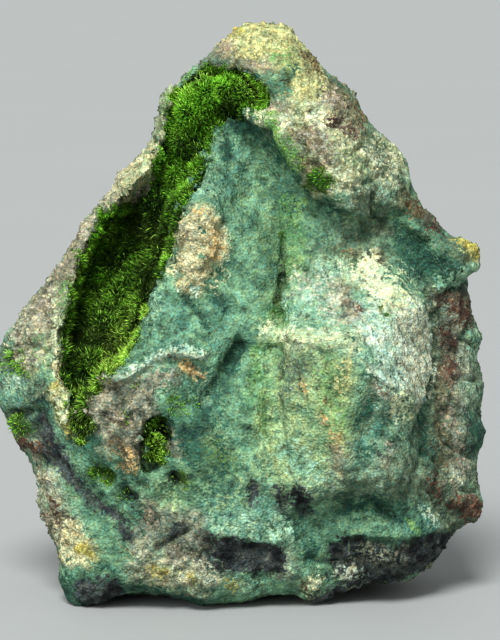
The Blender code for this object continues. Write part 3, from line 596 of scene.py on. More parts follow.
    ("teal", 1.5, 0.8, 0.9, ((-15.6, -19.0), (-13.8, -21.0), (-13.6, -24.8))),
    ("deepTeal", 1.5, 0.7, 0.98, ((-18.2, -25.4), (-17.6, -27.6), (-14.0, -25.8))),
    ("teal", 0.5, 0.5, 0.8, ((-18.6, -25.2), (-15.6, -25.4), (-12.6, -25.8))),
    ("black", 1.2, 0.5, 0.95, ((-16.4, -26.8), (-15.4, -27.6), (-13.2, -26.8))),
    ("deepTeal", 0.5, 0.4, 0.95, ((-11.8, -26.6), (-9.0, -27.2), (-5.0, -28.2))),
    # left: dark trench with teal sides
    ("teal", 2.2, 1.0, 0.95, ((-20.0, -8.0), (-18.4, -12.6), (-16.0, -15.8), (-13.6, -18.4))),
    ("deepTeal", 1.0, 0.7, 0.8, ((-16.0, -11.6), (-14.6, -14.4))),
    ("deepTeal", 1.3, 0.6, 0.95, ((-21.4, -7.4), (-21.0, -10.0))),
    # black along the trench: dark rock and painted shade in the trench
    ("black", 0.85, 0.5, 0.95, ((-21.2, -9.6), (-20.0, -12.4), (-18.6, -15.2), (-16.0, -17.8))),
    ("black", 0.55, 0.5, 0.85, ((-16.0, -17.8), (-13.4, -19.6), (-12.2, -21.6))),
    # left lobe
    ("greyGreen", 2.6, 1.0, 0.95, ((-24.4, -4.6), (-23.4, -7.0))),
    ("mint", 1.0, 0.8, 0.85, ((-24.6, -5.6), (-23.0, -6.6), (-24.0, -8.0))),
    ("whiteMint", 0.4, 0.4, 0.8, ((-23.6, -5.8), (-22.8, -6.0))),
    ("blueTeal", 0.6, 0.6, 0.6, ((-24.8, -7.6), (-23.0, -8.2))),
    ("black", 0.6, 0.5, 0.8, ((-24.6, -9.6), (-22.6, -9.4))),
    ("moss", 0.8, 0.5, 0.9, ((-23.6, -10.2), (-22.8, -11.0))),
    ("rust", 0.6, 0.4, 0.9, ((-22.8, -12.2), (-21.6, -12.8))),
    ("moss", 1.0, 0.6, 0.9, ((-23.6, -3.8), (-22.6, -4.6))),
    # granular rim of the hollow
    ("rimGrey", 1.5, 0.8, 0.95, ((-8.6, 22.6), (-9.4, 19.0), (-10.6, 16.4), (-13.0, 13.6))),
    ("rimGrey", 2.4, 0.9, 0.98, ((-15.0, 11.2), (-17.2, 8.0), (-19.2, 5.0), (-20.8, 1.6), (-22.0, -2.0))),
    ("oliveLime", 0.9, 0.8, 0.55, ((-8.0, 22.0), (-8.8, 19.4), (-9.8, 17.4))),
    # tan on the rim strip: its pale rock, lightened further as painted light over a recess in shade
    ("tan", 1.3, 0.8, 0.8, ((-9.9, 16.2), (-11.0, 14.6), (-12.6, 13.2))),
    ("oliveLime", 1.0, 0.8, 0.35, ((-10.0, 16.0), (-11.2, 14.4), (-12.6, 13.0))),
    ("greyPink", 0.9, 0.8, 0.7, ((-17.4, 8.2), (-19.0, 4.4), (-20.6, 1.0))),
    ("cream", 0.8, 0.7, 0.6, ((-19.4, 2.0), (-19.2, -0.8), (-18.6, -3.0))),
    ("oliveLime", 0.9, 0.7, 0.55, ((-20.8, -2.0), (-20.2, -4.4))),
    ("lime", 0.6, 0.5, 0.6, ((-18.2, 3.6), (-18.4, 0.8))),
    ("moss", 0.5, 0.4, 0.8, ((-17.4, 6.6), (-16.8, 6.2))),
    ("tan", 1.1, 0.6, 0.9, ((-18.8, -4.0), (-18.2, -6.4))),
    ("yellow", 0.55, 0.4, 0.85, ((-19.4, -6.6), (-18.8, -9.0), (-18.0, -11.0))),
    ("cream", 0.6, 0.4, 0.8, ((-19.2, -7.4), (-18.4, -10.0))),
    # grey lump, its pits and the tan patch
    ("lumpGrey", 2.5, 0.8, 0.98, ((-14.2, -8.2), (-12.2, -8.6), (-12.6, -11.4))),
    ("lumpGrey", 0.9, 0.7, 0.75, ((-10.4, -6.4), (-7.8, -5.9))),
    ("orange", 0.5, 0.3, 0.95, ((-6.4, -4.6), (-6.1, -4.9))),
    ("orange", 0.4, 0.3, 0.95, ((-5.5, -5.3), (-4.7, -5.6))),
    ("greyPink", 0.7, 0.6, 0.6, ((-13.4, -9.4), (-12.4, -10.4))),
    ("deepTeal", 1.0, 0.7, 0.7, ((-15.4, -12.6), (-14.4, -14.8), (-12.8, -16.2))),
    ("brown", 1.1, 0.6, 0.9, ((-13.0, -12.4), (-12.2, -14.2))),
    ("orange", 0.5, 0.4, 0.8, ((-12.2, -13.0), (-11.8, -14.8))),
    ("lumpGrey", 0.8, 0.5, 0.9, ((-8.2, -11.8), (-7.6, -13.2))),
    ("deepTeal", 1.2, 0.8, 0.8, ((-7.6, -9.4), (-6.4, -11.0), (-5.6, -13.4))),
    ("moss", 0.7, 0.4, 0.95, ((-15.2, -15.2), (-14.2, -15.9))),
    # black in the pits: painted shade
    ("black", 0.5, 0.4, 0.8, ((-12.4, -17.4), (-11.8, -17.9))),
    ("black", 0.45, 0.3, 0.95, ((-7.6, -15.9), (-7.2, -16.2))),
    ("moss", 0.5, 0.4, 0.8, ((-7.2, -15.4), (-6.4, -16.4))),
    ("oliveLime", 0.8, 0.8, 0.5, ((-9.0, -16.6), (-7.4, -18.4))),
    ("moss", 0.7, 0.5, 0.6, ((-7.6, -8.0), (-7.2, -9.2))),
    # knob: tan with orange
    ("tan", 2.3, 0.6, 0.98, ((-5.6, 9.2), (-4.9, 7.6), (-5.6, 5.6))),
    ("tan", 1.0, 0.5, 0.95, ((-6.0, 5.0), (-6.2, 4.0))),
    ("orange", 0.6, 0.6, 0.6, ((-3.4, 8.8), (-3.4, 7.2), (-4.0, 6.0))),
    ("orange", 0.5, 0.5, 0.6, ((-5.6, 10.8), (-4.4, 10.6))),
    ("lumpGrey", 0.6, 0.6, 0.45, ((-6.8, 9.4), (-5.8, 8.4), (-6.4, 7.4))),
    ("deepTeal", 0.3, 0.3, 0.7, ((-5.2, 9.4), (-4.8, 8.8))),
    ("teal", 0.3, 0.3, 0.7, ((-5.4, 6.8), (-4.8, 6.4))),
    ("whiteMint", 0.4, 0.4, 0.8, ((-5.8, 3.2), (-5.5, 2.9))),
    # band: cream granules with maroon clusters
    ("cream", 2.9, 1.0, 0.98, ((3.0, 21.8), (6.0, 20.6), (8.4, 17.8), (10.6, 15.6))),
    ("cream", 1.8, 1.0, 0.9, ((7.6, 15.6), (10.6, 14.2), (13.4, 15.4), (14.4, 17.6))),
    ("greyGreen", 1.2, 1.0, 0.6, ((11.4, 18.6), (13.0, 15.6), (14.4, 13.8))),
    ("mint", 0.8, 0.8, 0.6, ((11.6, 14.0), (13.8, 12.0), (10.6, 11.6))),
    ("whiteMint", 0.5, 0.5, 0.7, ((9.2, 12.4), (11.4, 11.8), (13.0, 12.4))),
    ("brown", 1.0, 0.8, 0.75, ((7.8, 23.6), (9.6, 21.8), (10.8, 20.2))),
    ("greyPink", 0.8, 0.7, 0.7, ((5.8, 24.4), (7.8, 22.4), (9.0, 20.6))),
    ("maroon", 0.85, 0.6, 0.62, ((8.2, 19.8), (9.4, 19.2), (10.2, 18.8))),
    ("maroon", 0.9, 0.6, 0.62, ((5.0, 18.4), (6.2, 17.6), (6.8, 16.8))),
    ("greyPink", 0.9, 0.6, 0.7, ((6.4, 18.8), (7.4, 17.4), (7.6, 15.8))),
    ("brown", 0.6, 0.5, 0.85, ((5.4, 16.2), (6.6, 14.8))),
    ("moss", 0.7, 0.4, 0.9, ((6.8, 14.4), (8.0, 14.0))),
    ("greyGreen", 1.4, 0.9, 0.8, ((11.2, 12.6), (12.6, 11.2), (12.8, 9.8))),
    ("oliveLime", 0.8, 0.7, 0.5, ((9.4, 16.4), (11.2, 15.4))),
    ("lime", 0.55, 0.4, 0.95, ((2.2, 20.6), (2.8, 19.0), (3.8, 17.4), (4.7, 16.2), (5.0, 15.4))),
    # apex: straw yellow, grey-pink and a teal patch below
    ("straw", 3.4, 1.0, 0.95, ((-0.4, 27.8), (2.6, 27.2), (4.2, 25.0))),
    ("greyPink", 1.2, 0.8, 0.85, ((-2.2, 27.0), (-3.2, 25.6), (-1.6, 25.0))),
    ("greyGreen", 1.3, 0.8, 0.9, ((-3.8, 25.4), (-2.0, 24.8), (-0.4, 25.0))),
    ("yellow", 0.5, 0.5, 0.8, ((-2.0, 28.8), (-1.2, 29.0))),
    ("straw", 1.0, 0.6, 0.95, ((-0.4, 27.0), (1.6, 26.8))),
    ("straw", 0.8, 0.6, 0.9, ((3.4, 27.8), (4.4, 26.0), (4.4, 24.4))),
    ("greyPink", 0.9, 0.7, 0.85, ((0.2, 25.4), (1.6, 25.4))),
    ("lime", 0.7, 0.7, 0.6, ((2.4, 26.2), (3.6, 26.4), (4.0, 24.4))),
    ("brown", 0.6, 0.5, 0.7, ((5.6, 26.6), (6.6, 25.2))),
    ("deepTeal", 0.8, 0.6, 0.75, ((0.0, 24.4), (2.0, 24.4), (4.0, 24.4))),
    ("teal", 1.3, 0.7, 0.85, ((2.2, 23.6), (3.0, 22.4))),
    ("greyPink", 0.6, 0.5, 0.7, ((2.2, 21.2), (3.6, 21.4))),
)

# Cracks, pits and ridges of the rock: path, depth in mm (less than 0 is a ridge), half width
marks = (
    (((3.3, 8.4), (3.2, 6.4), (3.3, 4.8), (2.9, 3.0), (2.8, 1.2)), 0.55, 0.2),
    (((3.4, 7.0), (3.3, 6.6)), 0.7, 0.26),
    (((2.9, 5.6), (3.0, 5.2)), 0.5, 0.22),
    (((3.3, 4.4), (3.2, 3.7)), 0.8, 0.28),
    (((2.8, 2.4), (2.6, 1.9)), 0.7, 0.26),
    (((2.9, 0.9), (2.7, 0.5)), 0.5, 0.22),
    (((3.9, -7.2), (3.85, -9.4)), 0.35, 0.12),
    (((12.1, 12.6), (11.9, 10.6)), 0.8, 0.18),
    (((-1.0, -2.4), (-2.6, -5.4), (-4.6, -8.4)), 0.9, 0.45),
    (((-6.0, 1.9), (-4.8, 0.6), (-4.4, -0.6)), 0.6, 0.24),
    (((-3.4, 2.8), (-2.4, 1.2), (-2.6, 0.0)), 0.4, 0.2),
    (((18.2, 0.6), (18.3, -3.0), (17.8, -7.0)), 0.7, 0.35),
    (((17.0, -9.0), (17.6, -12.0), (17.0, -15.0)), 0.7, 0.3),
    (((13.2, 1.2), (13.6, 0.4), (13.4, -0.6)), 0.3, 0.15),
    (((11.4, -0.4), (12.4, 0.4), (13.4, -0.2)), 0.25, 0.12),
    (((-7.6, -15.7), (-7.2, -16.3)), 1.3, 0.55),
    (((-12.6, -17.2), (-11.9, -17.9)), 1.2, 0.5),
    (((-15.2, -15.3), (-14.0, -15.9)), 1.2, 0.6),
    (((-13.4, -14.4), (-12.8, -14.7)), 0.6, 0.3),
    (((-10.8, -16.4), (-10.4, -17.0)), 0.7, 0.35),
    (((-6.4, -13.2), (-6.3, -13.5)), 0.9, 0.35),
    (((5.2, 17.6), (5.6, 16.8)), 0.8, 0.35),
    (((8.2, 19.4), (9.2, 19.6)), 0.6, 0.4),
    (((6.4, 15.6), (7.0, 15.0)), 0.6, 0.35),
    (((3.6, 23.4), (4.4, 22.6)), 0.5, 0.4),
    (((11.0, -19.0), (12.4, -18.4), (14.4, -19.6)), 1.0, 0.5),
    (((5.8, -24.0), (8.0, -24.4), (10.4, -24.2)), 0.6, 0.4),
    (((-6.0, -21.0), (-7.6, -21.9), (-9.0, -22.8)), 0.8, 0.35),
    (((-10.8, -18.6), (-9.6, -19.2), (-9.2, -20.2), (-10.4, -20.6), (-11.0, -19.6)), 0.5, 0.22),
    (((-15.4, -6.8), (-12.0, -5.3), (-9.4, -3.7), (-7.6, -3.1), (-4.9, -3.6)), -0.6, 0.4),
    (((15.4, 9.9), (18.0, 8.2), (20.6, 6.3)), -0.5, 0.35),
    (((18.8, 3.2), (20.6, 4.2), (22.4, 5.6)), -0.5, 0.35),
    (((-3.2, 18.8), (-3.8, 16.6), (-4.0, 13.8)), -0.5, 0.4),
    (((-23.8, -9.4), (-21.8, -9.2)), 0.9, 0.5),
    (((-1.2, 20.0), (0.6, 19.6), (2.4, 19.0)), 0.6, 0.35),
    (((1.0, -4.4), (0.6, -7.0), (-0.2, -9.4)), 0.4, 0.3),
    (((20.2, -8.0), (19.4, -11.0), (20.0, -14.0)), 0.6, 0.3),
    (((19.4, -17.6), (20.2, -19.6)), 0.5, 0.3),
    (((21.8, -1.0), (20.6, -3.4), (21.4, -4.6)), 0.5, 0.35),
    (((-21.6, -6.8), (-21.0, -9.8), (-20.2, -12.4), (-18.6, -15.2), (-16.0, -17.8), (-13.2, -19.8)),
     0.6, 0.7),
    (((0.4, -16.6), (0.2, -18.0)), 0.4, 0.35),
    (((4.8, -17.6), (5.4, -18.8)), 0.5, 0.5),
    (((9.6, -8.0), (9.6, -12.0), (9.8, -15.4)), -0.35, 0.7),
    (((12.6, -5.0), (12.0, -9.4), (11.2, -13.0)), 0.3, 0.5),
    (((19.0, 2.4), (19.4, -2.4), (18.8, -6.4), (19.6, -10.6)), 0.5, 0.25),
    (((7.0, 20.6), (7.8, 19.6)), 0.6, 0.3),
    (((4.8, 19.4), (5.6, 19.0)), 0.5, 0.3),
    (((10.4, 16.6), (11.2, 17.4)), 0.5, 0.3),
    (((8.8, 15.2), (9.6, 14.4)), 0.5, 0.3),
    (((6.0, 22.8), (7.4, 22.2)), 0.5, 0.3),
    (((11.6, 13.6), (13.0, 14.4)), 0.5, 0.3),
    (((-0.6, 27.2), (0.4, 26.4)), 0.5, 0.3),
    (((-18.6, 6.4), (-17.8, 5.2)), 0.5, 0.4),
    (((-21.0, 1.0), (-20.0, 0.0)), 0.5, 0.4),
    (((-20.4, -3.4), (-21.6, -2.6)), 0.5, 0.4),
    (((20.6, -1.4), (22.4, -2.6)), 0.5, 0.25),
    (((20.4, -5.8), (22.6, -6.0)), 0.5, 0.22),
    (((19.8, -12.6), (22.2, -13.8)), 0.5, 0.25),
    (((18.4, -14.0), (20.8, -16.8), (22.4, -17.2)), 0.6, 0.28),
    (((-14.6, -9.6), (-12.6, -10.6), (-11.6, -9.0)), 0.5, 0.3),
    (((-13.6, -6.8), (-12.4, -7.6)), 0.4, 0.3),
)

# Steps in the rock: path, height of the ground left of it above that on its right, how far the step is felt
ledges = (
    (((15.1, -7.6), (13.4, -6.4), (12.0, -4.4), (10.0, -2.4), (7.4, -2.9), (5.2, -1.8), (2.6, -2.4)),
     -0.5, 1.7),
    (((15.1, -17.2), (15.9, -10.5), (17.5, -5.4), (18.0, -2.3), (17.4, 0.2)), 0.8, 1.8),
    (((16.6, 2.6), (14.7, 4.3), (12.2, 5.6), (8.8, 4.4), (6.6, 3.4)), 0.55, 1.6),
    (((4.2, -15.8), (3.2, -9.0), (3.0, -3.4)), -0.5, 1.5),
    (((0.2, 19.9), (2.4, 18.8), (3.7, 16.8), (5.4, 14.0), (7.4, 12.2), (11.4, 10.8)), 0.8, 1.5),
    (((-2.8, 9.8), (-3.1, 7.4), (-4.4, 5.6), (-6.2, 3.0)), -0.5, 1.2),
    (((-5.8, -21.5), (-2.0, -21.8), (2.6, -22.2)), 0.6, 1.2),
    (((9.0, -21.8), (12.2, -21.5), (15.6, -21.8), (19.0, -20.8)), 0.7, 1.3),
    (((-15.6, -7.4), (-14.4, -5.9), (-11.8, -6.2)), 0.3, 0.8),
    (((-9.6, -7.0), (-10.0, -9.4), (-11.4, -12.0)), -0.5, 1.0),
    (((0.6, -4.6), (0.2, -9.0), (1.2, -13.4)), 0.35, 1.0),
    (((-6.2, -5.6), (-3.4, -9.6), (-2.8, -13.8)), -0.3, 1.4),
)

# The hollows as the CAD has them: path with (across, up, half width, thickness of the crust)
hollows = {
    "main_needle_crust": (
        (0.6, 22.3, 1.5, 2.2), (-1.4, 22.6, 2.7, 3.4), (-3.6, 22.6, 2.9, 4.0), (-5.5, 20.8, 3.1, 3.8),
        (-6.3, 18.2, 2.7, 2.9), (-6.8, 15.5, 2.5, 2.4), (-9.0, 12.5, 2.9, 2.0), (-11.2, 8.8, 4.2, 1.8),
        (-13.0, 5.0, 4.2, 1.8), (-14.2, 1.0, 4.1, 1.8), (-15.5, -2.5, 3.7, 1.9), (-16.6, -5.5, 2.4, 2.2),
    ),
    "lip_needle_crust": ((-17.2, -8.2, 1.0, 1.9), (-16.8, -10.0, 1.3, 2.3), (-16.9, -11.6, 1.0, 1.7)),
    "pocket_needle_crust": ((-9.2, -10.9, 1.3, 2.2), (-9.4, -12.6, 1.7, 1.8), (-9.8, -14.2, 1.2, 1.5)),
}

studio = {
    "floorTone": (0.284, 0.297, 0.293), "floorRadius": 4.0, "floorPoints": 96, "floorRoughness": 0.6,
    "cloudScale": 14.0, "cloudLighter": 1.05, "worldTone": (0.80, 0.83, 0.84), "worldStrength": 0.59,
    "sunStrength": 4.8, "sunTurn": (math.radians(34.0), 0.0, math.radians(-12.0)),
    "sunSoftness": math.radians(24.0), "fillWatts": 1.2, "fillPlace": (-0.35, -0.45, 0.25), "fillSize": 0.4,
    "fillTarget": (0.0, 0.0, 0.03), "filmHeight": 24.0, "nearest": 0.01, "farthest": 20.0,
}


def aimedAt(place, target):
    # the turn that points an object's -Z from its place to the target
    return (Vector(target) - Vector(place)).to_track_quat("-Z", "Y").to_euler()


def makeCamera():
    # stands where the eye stands and takes in the height of its view
    camera = bpy.data.cameras.new("camera")
    holder = bpy.data.objects.new("camera", camera)
    bpy.context.scene.collection.objects.link(holder)
    middle = np.array(eye["middle"]) * mm
    away = eye["distance"] * mm
    holder.location = middle + away * np.array((0.0, -math.cos(eye["above"]), math.sin(eye["above"])))
    holder.rotation_euler = (math.pi / 2.0 - eye["above"], 0.0, 0.0)
    camera.sensor_fit = "VERTICAL"
    camera.sensor_height = studio["filmHeight"]
    camera.lens = studio["filmHeight"] * eye["distance"] / eye["viewHeight"]
    camera.clip_start, camera.clip_end = studio["nearest"], studio["farthest"]
    bpy.context.scene.camera = holder


def makeFloor():
    # one wide round face with a faint cloud of a lighter tone
    count, tone = studio["floorPoints"], studio["floorTone"]
    around = np.linspace(0.0, 2.0 * math.pi, count, endpoint=False)
    ring = np.column_stack((np.cos(around), np.sin(around), np.zeros(count))) * studio["floorRadius"]
    mesh = bpy.data.meshes.new("floor")
    mesh.from_pydata(ring.tolist(), [], [tuple(range(count))])
    floor = bpy.data.objects.new("floor", mesh)
    bpy.context.scene.collection.objects.link(floor)
    material, tree, shader = newMaterial("paleFloor")
    shader.inputs["Roughness"].default_value = studio["floorRoughness"]
    place = addNode(tree, "ShaderNodeTexCoord").outputs["Object"]
    cloud = addNode(tree, "ShaderNodeTexNoise", None, Vector=place, Scale=studio["cloudScale"], Detail=3.0)
    lighter = tuple(min(1.0, value * studio["cloudLighter"]) for value in tone)
    clouded = mixColours(tree, cloud.outputs[0], (*tone, 1.0), (*lighter, 1.0))
    tree.links.new(clouded, shader.inputs["Base Color"])
    mesh.materials.append(material)


def makeLight():
    # even light from all round, a wide soft sun from above, and a weak fill from the left
    scene = bpy.context.scene
    world = bpy.data.worlds.new("softLight")
    scene.world = world
    world.use_nodes = True
    back = world.node_tree.nodes["Background"]
    back.inputs["Color"].default_value = (*studio["worldTone"], 1.0)
    back.inputs["Strength"].default_value = studio["worldStrength"]

    key = bpy.data.lights.new("key", "SUN")
    key.energy = studio["sunStrength"]
    key.angle = studio["sunSoftness"]
    keyHolder = bpy.data.objects.new("key", key)
    keyHolder.rotation_euler = studio["sunTurn"]
    scene.collection.objects.link(keyHolder)

    fill = bpy.data.lights.new("fill", "AREA")
    fill.energy = studio["fillWatts"]
    fill.size = studio["fillSize"]
    fillHolder = bpy.data.objects.new("fill", fill)
    fillHolder.location = studio["fillPlace"]
    fillHolder.rotation_euler = aimedAt(studio["fillPlace"], studio["fillTarget"])
    scene.collection.objects.link(fillHolder)


bpy.context.scene.view_settings.view_transform = "Standard"
bpy.context.scene.view_settings.look = "None"
makeCamera()
makeFloor()
makeLight()
print("camera, floor and light are in place")

# The rock, sizes in mm: its faces and how far they are smoothed, where it is flat, seen, covered by needles
# or bare, the bare rim's filling, the hollows' paint (the bed's deep green, partly painted shade), the relief,
# and the finish
rock = {
    "voxel": 0.25, "keptBehind": 0.25, "turnedAway": -0.15, "underNeedles": 0.85, "relaxRounds": 4,
    "relaxShare": 0.5, "seatTop": 0.06, "seatStart": 0.05, "seatBand": 0.35, "seenFacing": (-0.15, 0.15),
    "coveredShare": (0.95, 0.8), "coveredFacing": 0.3, "behindBed": 0.2,
    "rimFill": 3.4, "rimFillUp": (10.0, 11.5), "rimFillFacing": 0.1, "rimFillInner": (0.4, 0.75),
    "rimFillOuter": (0.85, 1.15), "rimRagged": 0.7, "rimPlace": 1.02, "rimWidth": 0.16,
    "paintWobble": 0.06, "paintShare": (0.9, 1.04), "paintStrength": 0.97, "borderWobble": 0.55,
    "lumpHeight": 0.26, "lumpSize": 2.6, "cragHeight": 0.2, "cragSize": 1.7, "fineHeight": 0.14,
    "fineSize": 0.8, "granuleSize": 0.62, "granuleHeight": 0.62, "leastRough": 0.3, "roughUnit": 0.12,
    "calmInHollow": 0.6, "bump": 1.0, "bumpDistance": 0.0006, "roughness": 0.9, "shine": 0.2,
    "breakScale": 2300.0, "breakPush": 0.6,
}


def towardsEye(points):
    # for each point in mm, the direction to the eye
    above = eye["above"]
    stand = np.array((0.0, -math.cos(above), math.sin(above))) * eye["distance"] + eye["middle"]
    return unit(stand - points)


def insideHollow(across, up):
    # how far a place is from a hollow's path, as a share of its half width: 1 at the rim, the least of all
    least = np.full(across.shape, 9.0)
    for path in hollows.values():
        distance, _, values = alongPath([place[:3] for place in path], across, up)
        least = np.minimum(least, distance / values[..., 0])
    return least


def mineralTone(name, mottle):
    # a mineral's own tone and its mottled one, mixed by the mottling of each point
    mineral = minerals[name]
    return linear(mineral["tone"]) * (1.0 - mottle) + linear(mineral["mottle"]) * mottle


def firstCoat(points, name):
    # two tones for each point and the share of the upper one, which the material breaks up into grains
    mottle = smoothStep(layeredWaves(51, 1.1, points, 3, 0.7), -0.5, 0.5)[:, None]
    tone = mineralTone(name, mottle)
    count, mineral = len(points), minerals[name]
    return {"mottle": mottle, "under": tone, "over": tone, "share": np.zeros(count),
            "grain": np.full(count, mineral["grain"]), "rough": np.full(count, mineral["rough"])}


leastStain = 0.02  # a smaller share of a mineral changes no tone


def layCoat(coat, name, share):
    # where the new mineral lies, what was there becomes the under tone; grain and roughness move to its own
    # by its share
    touched = share > leastStain
    mixed = coat["under"] + (coat["over"] - coat["under"]) * coat["share"][:, None]
    coat["under"] = np.where(touched[:, None], mixed, coat["under"])
    coat["over"] = np.where(touched[:, None], mineralTone(name, coat["mottle"]), coat["over"])
    coat["share"] = np.where(touched, share, coat["share"])
    for key in ("grain", "rough"):
        coat[key] = coat[key] + (minerals[name][key] - coat[key]) * share


def granules(points, grain):
    # lift and shade of granules: domes on the cells of a bent lattice, each with its own height and tone, the
    # gaps between them sunk and darkened by painted shade, all the more so the grainier the mineral is; a
    # faint mottling over all
    bent = points + 0.22 * np.column_stack([waves(seed, 0.55, points) for seed in (91, 92, 93)])
    first, second, number = grains(45, rock["granuleSize"], bent)
    gap = 1.0 - smoothStep(second - first, 0.0, 0.3)
    dome = np.clip(1.0 - first * 1.15, 0.0, 1.0) * (1.0 - gap)
    lift = rock["granuleHeight"] * np.clip(grain - 0.3, 0.0, 1.0) * (dome - 0.3) * (0.4 + 1.2 * number)
    shade = 1.0 - 0.5 * np.clip(grain - 0.25, 0.0, 1.0) * gap
    shade *= 1.0 + 0.5 * np.clip(grain - 0.2, 0.0, 1.0) * (number - 0.5)
    return lift, shade * (1.0 + 0.16 * layeredWaves(47, 0.6, points, 2, 0.9))


def writeCoat(mesh, coat, shade):
    # both tones times the shade (painted shade in the granules' gaps, and their own tone), the upper one's
    # share and the grain, for the material to read
    for key in ("under", "over"):
        writeValues(mesh, key, np.clip(coat[key] * shade[:, None], 0.0, 1.0))
    for key in ("share", "grain"):
        writeValues(mesh, key, coat[key])


# Minerals of the sides that the photograph doesn't show: mineral, size of its patches in mm, noise where it
# starts and where it is full, strength
unseenMinerals = (
    ("teal", 11.0, -0.05, 0.3, 0.85), ("rimGrey", 9.0, 0.05, 0.4, 0.8), ("mint", 5.0, 0.2, 0.6, 0.6),
    ("brown", 4.0, 0.3, 0.65, 0.6), ("rust", 6.0, 0.36, 0.62, 0.7), ("black", 7.0, 0.44, 0.66, 0.8),
    ("oliveLime", 4.5, 0.33, 0.65, 0.6), ("yellow", 3.5, 0.48, 0.7, 0.6),
)


def stainStone(points, across, up, seen):
    # the unseen sides' patches by noise, teal over all that the eye sees, then each stain: its share falls
    # off with the distance to its path, and three noises bend its border
    coat = firstCoat(points, "greyGreen")
    for number, (name, size, low, high, strength) in enumerate(unseenMinerals):
        patches = layeredWaves(70 + 5 * number, size, points, 5, 0.65)
        layCoat(coat, name, strength * smoothStep(patches, low, high))
    layCoat(coat, "teal", seen)
    wobble = waves(81, 1.9, points) + 0.7 * waves(82, 0.9, points) + 0.5 * waves(83, 0.45, points)
    for name, half, softness, strength, path in stains:
        distance, _, _ = alongPath(path, across, up)
        reach = half + rock["borderWobble"] * min(half, 1.5) * wobble
        width = 0.35 + softness * 0.75
        share = smoothStep(reach - distance, -width, width)
        layCoat(coat, name, share * strength * seen)
    return coat


# Bare rock that shows through the needles: across, up, radius in mm
bareSpots = (
    (-8.7, 23.2, 0.9), (-8.9, 21.6, 1.0), (-9.1, 19.9, 0.9), (-9.4, 18.2, 0.9), (-9.9, 16.8, 1.0),
    (-10.8, 15.4, 1.2), (-12.0, 14.0, 1.5), (-13.4, 13.0, 1.3), (-13.0, 12.1, 0.9), (-11.9, 12.3, 0.9),
    (-4.6, 16.4, 0.7), (-5.8, 13.7, 0.6), (-7.1, 11.2, 0.6), (-7.4, 6.4, 0.6), (-14.6, 12.0, 1.1),
    (-11.2, 13.4, 1.2), (-10.3, 14.6, 0.9), (-8.3, 3.0, 1.3), (-9.2, 1.8, 1.2), (-10.2, -0.6, 0.9),
    (-7.7, 8.6, 0.4), (-19.2, 4.8, 0.6), (-5.0, 14.8, 0.5), (-8.4, 4.6, 0.5), (-17.4, 8.4, 0.7),
    (-17.9, -9.5, 0.5), (-16.2, -9.1, 0.55), (-17.9, -11.8, 0.7), (-15.9, -12.0, 0.7), (-8.0, -12.6, 0.75),
    (-10.9, -13.4, 0.9), (-9.0, -14.9, 0.9), (-10.7, -10.9, 0.6), (-8.1, -10.6, 0.4), (-9.9, -14.6, 0.5),
)


def bareShare(across, up):
    # 1 where a bare spot keeps needles off, with a ragged border, else 0
    share = np.zeros(across.shape)
    ragged = 1.0 + 0.3 * waves(64, 0.8, np.column_stack((across, up, across)))
    for spotAcross, spotUp, radius in bareSpots:
        inside = np.hypot(across - spotAcross, up - spotUp) < radius * ragged
        share = np.maximum(share, inside.astype(float))
    return share


def shapeStone():
    # the CAD's rock in even faces, with larger ones behind and under needles; the bare rim is moved towards
    # the eye, so that no groove is left between it and the needles; then all but the seat and the covered
    # ground is smoothed
    thing = evened(mergedCopy("specimen_rock", "matrix"), rock["voxel"])
    points, triangles = readPoints(thing.data), readTriangles(thing.data)
    facing = np.sum(pointNormals(points, triangles) * towardsEye(points), axis=1)
    underNeedles = (insideHollow(*toView(points)[:2]) < rock["underNeedles"]) & (facing > 0.0)
    thinned(thing, (facing < rock["turnedAway"]) | underNeedles, rock["keptBehind"])
    points, triangles, edges = readPoints(thing.data), readTriangles(thing.data), readEdges(thing.data)
    onSeat = points[:, 2] < rock["seatTop"]
    normals = pointNormals(points, triangles)
    across, up, _ = toView(points)
    share = insideHollow(across, up)
    bare = bareShare(across, up) * smoothStep(up, *rock["rimFillUp"])
    bare = bare * (normals[:, 1] < rock["rimFillFacing"])
    fill = rock["rimFill"] * bare * smoothStep(share, *rock["rimFillInner"])
    fill = fill * (1.0 - smoothStep(share, *rock["rimFillOuter"]))
    points = points + towardsEye(points) * fill[:, None]
    covered = smoothStep(share, *rock["coveredShare"]) * (normals[:, 1] < rock["coveredFacing"])
    covered = covered * (1.0 - bare)
    settled = relaxed(points, edges, rock["relaxRounds"], rock["relaxShare"])
    points = points + (settled - points) * ((1.0 - covered) * (1.0 - onSeat))[:, None]
    return thing, points, triangles, covered


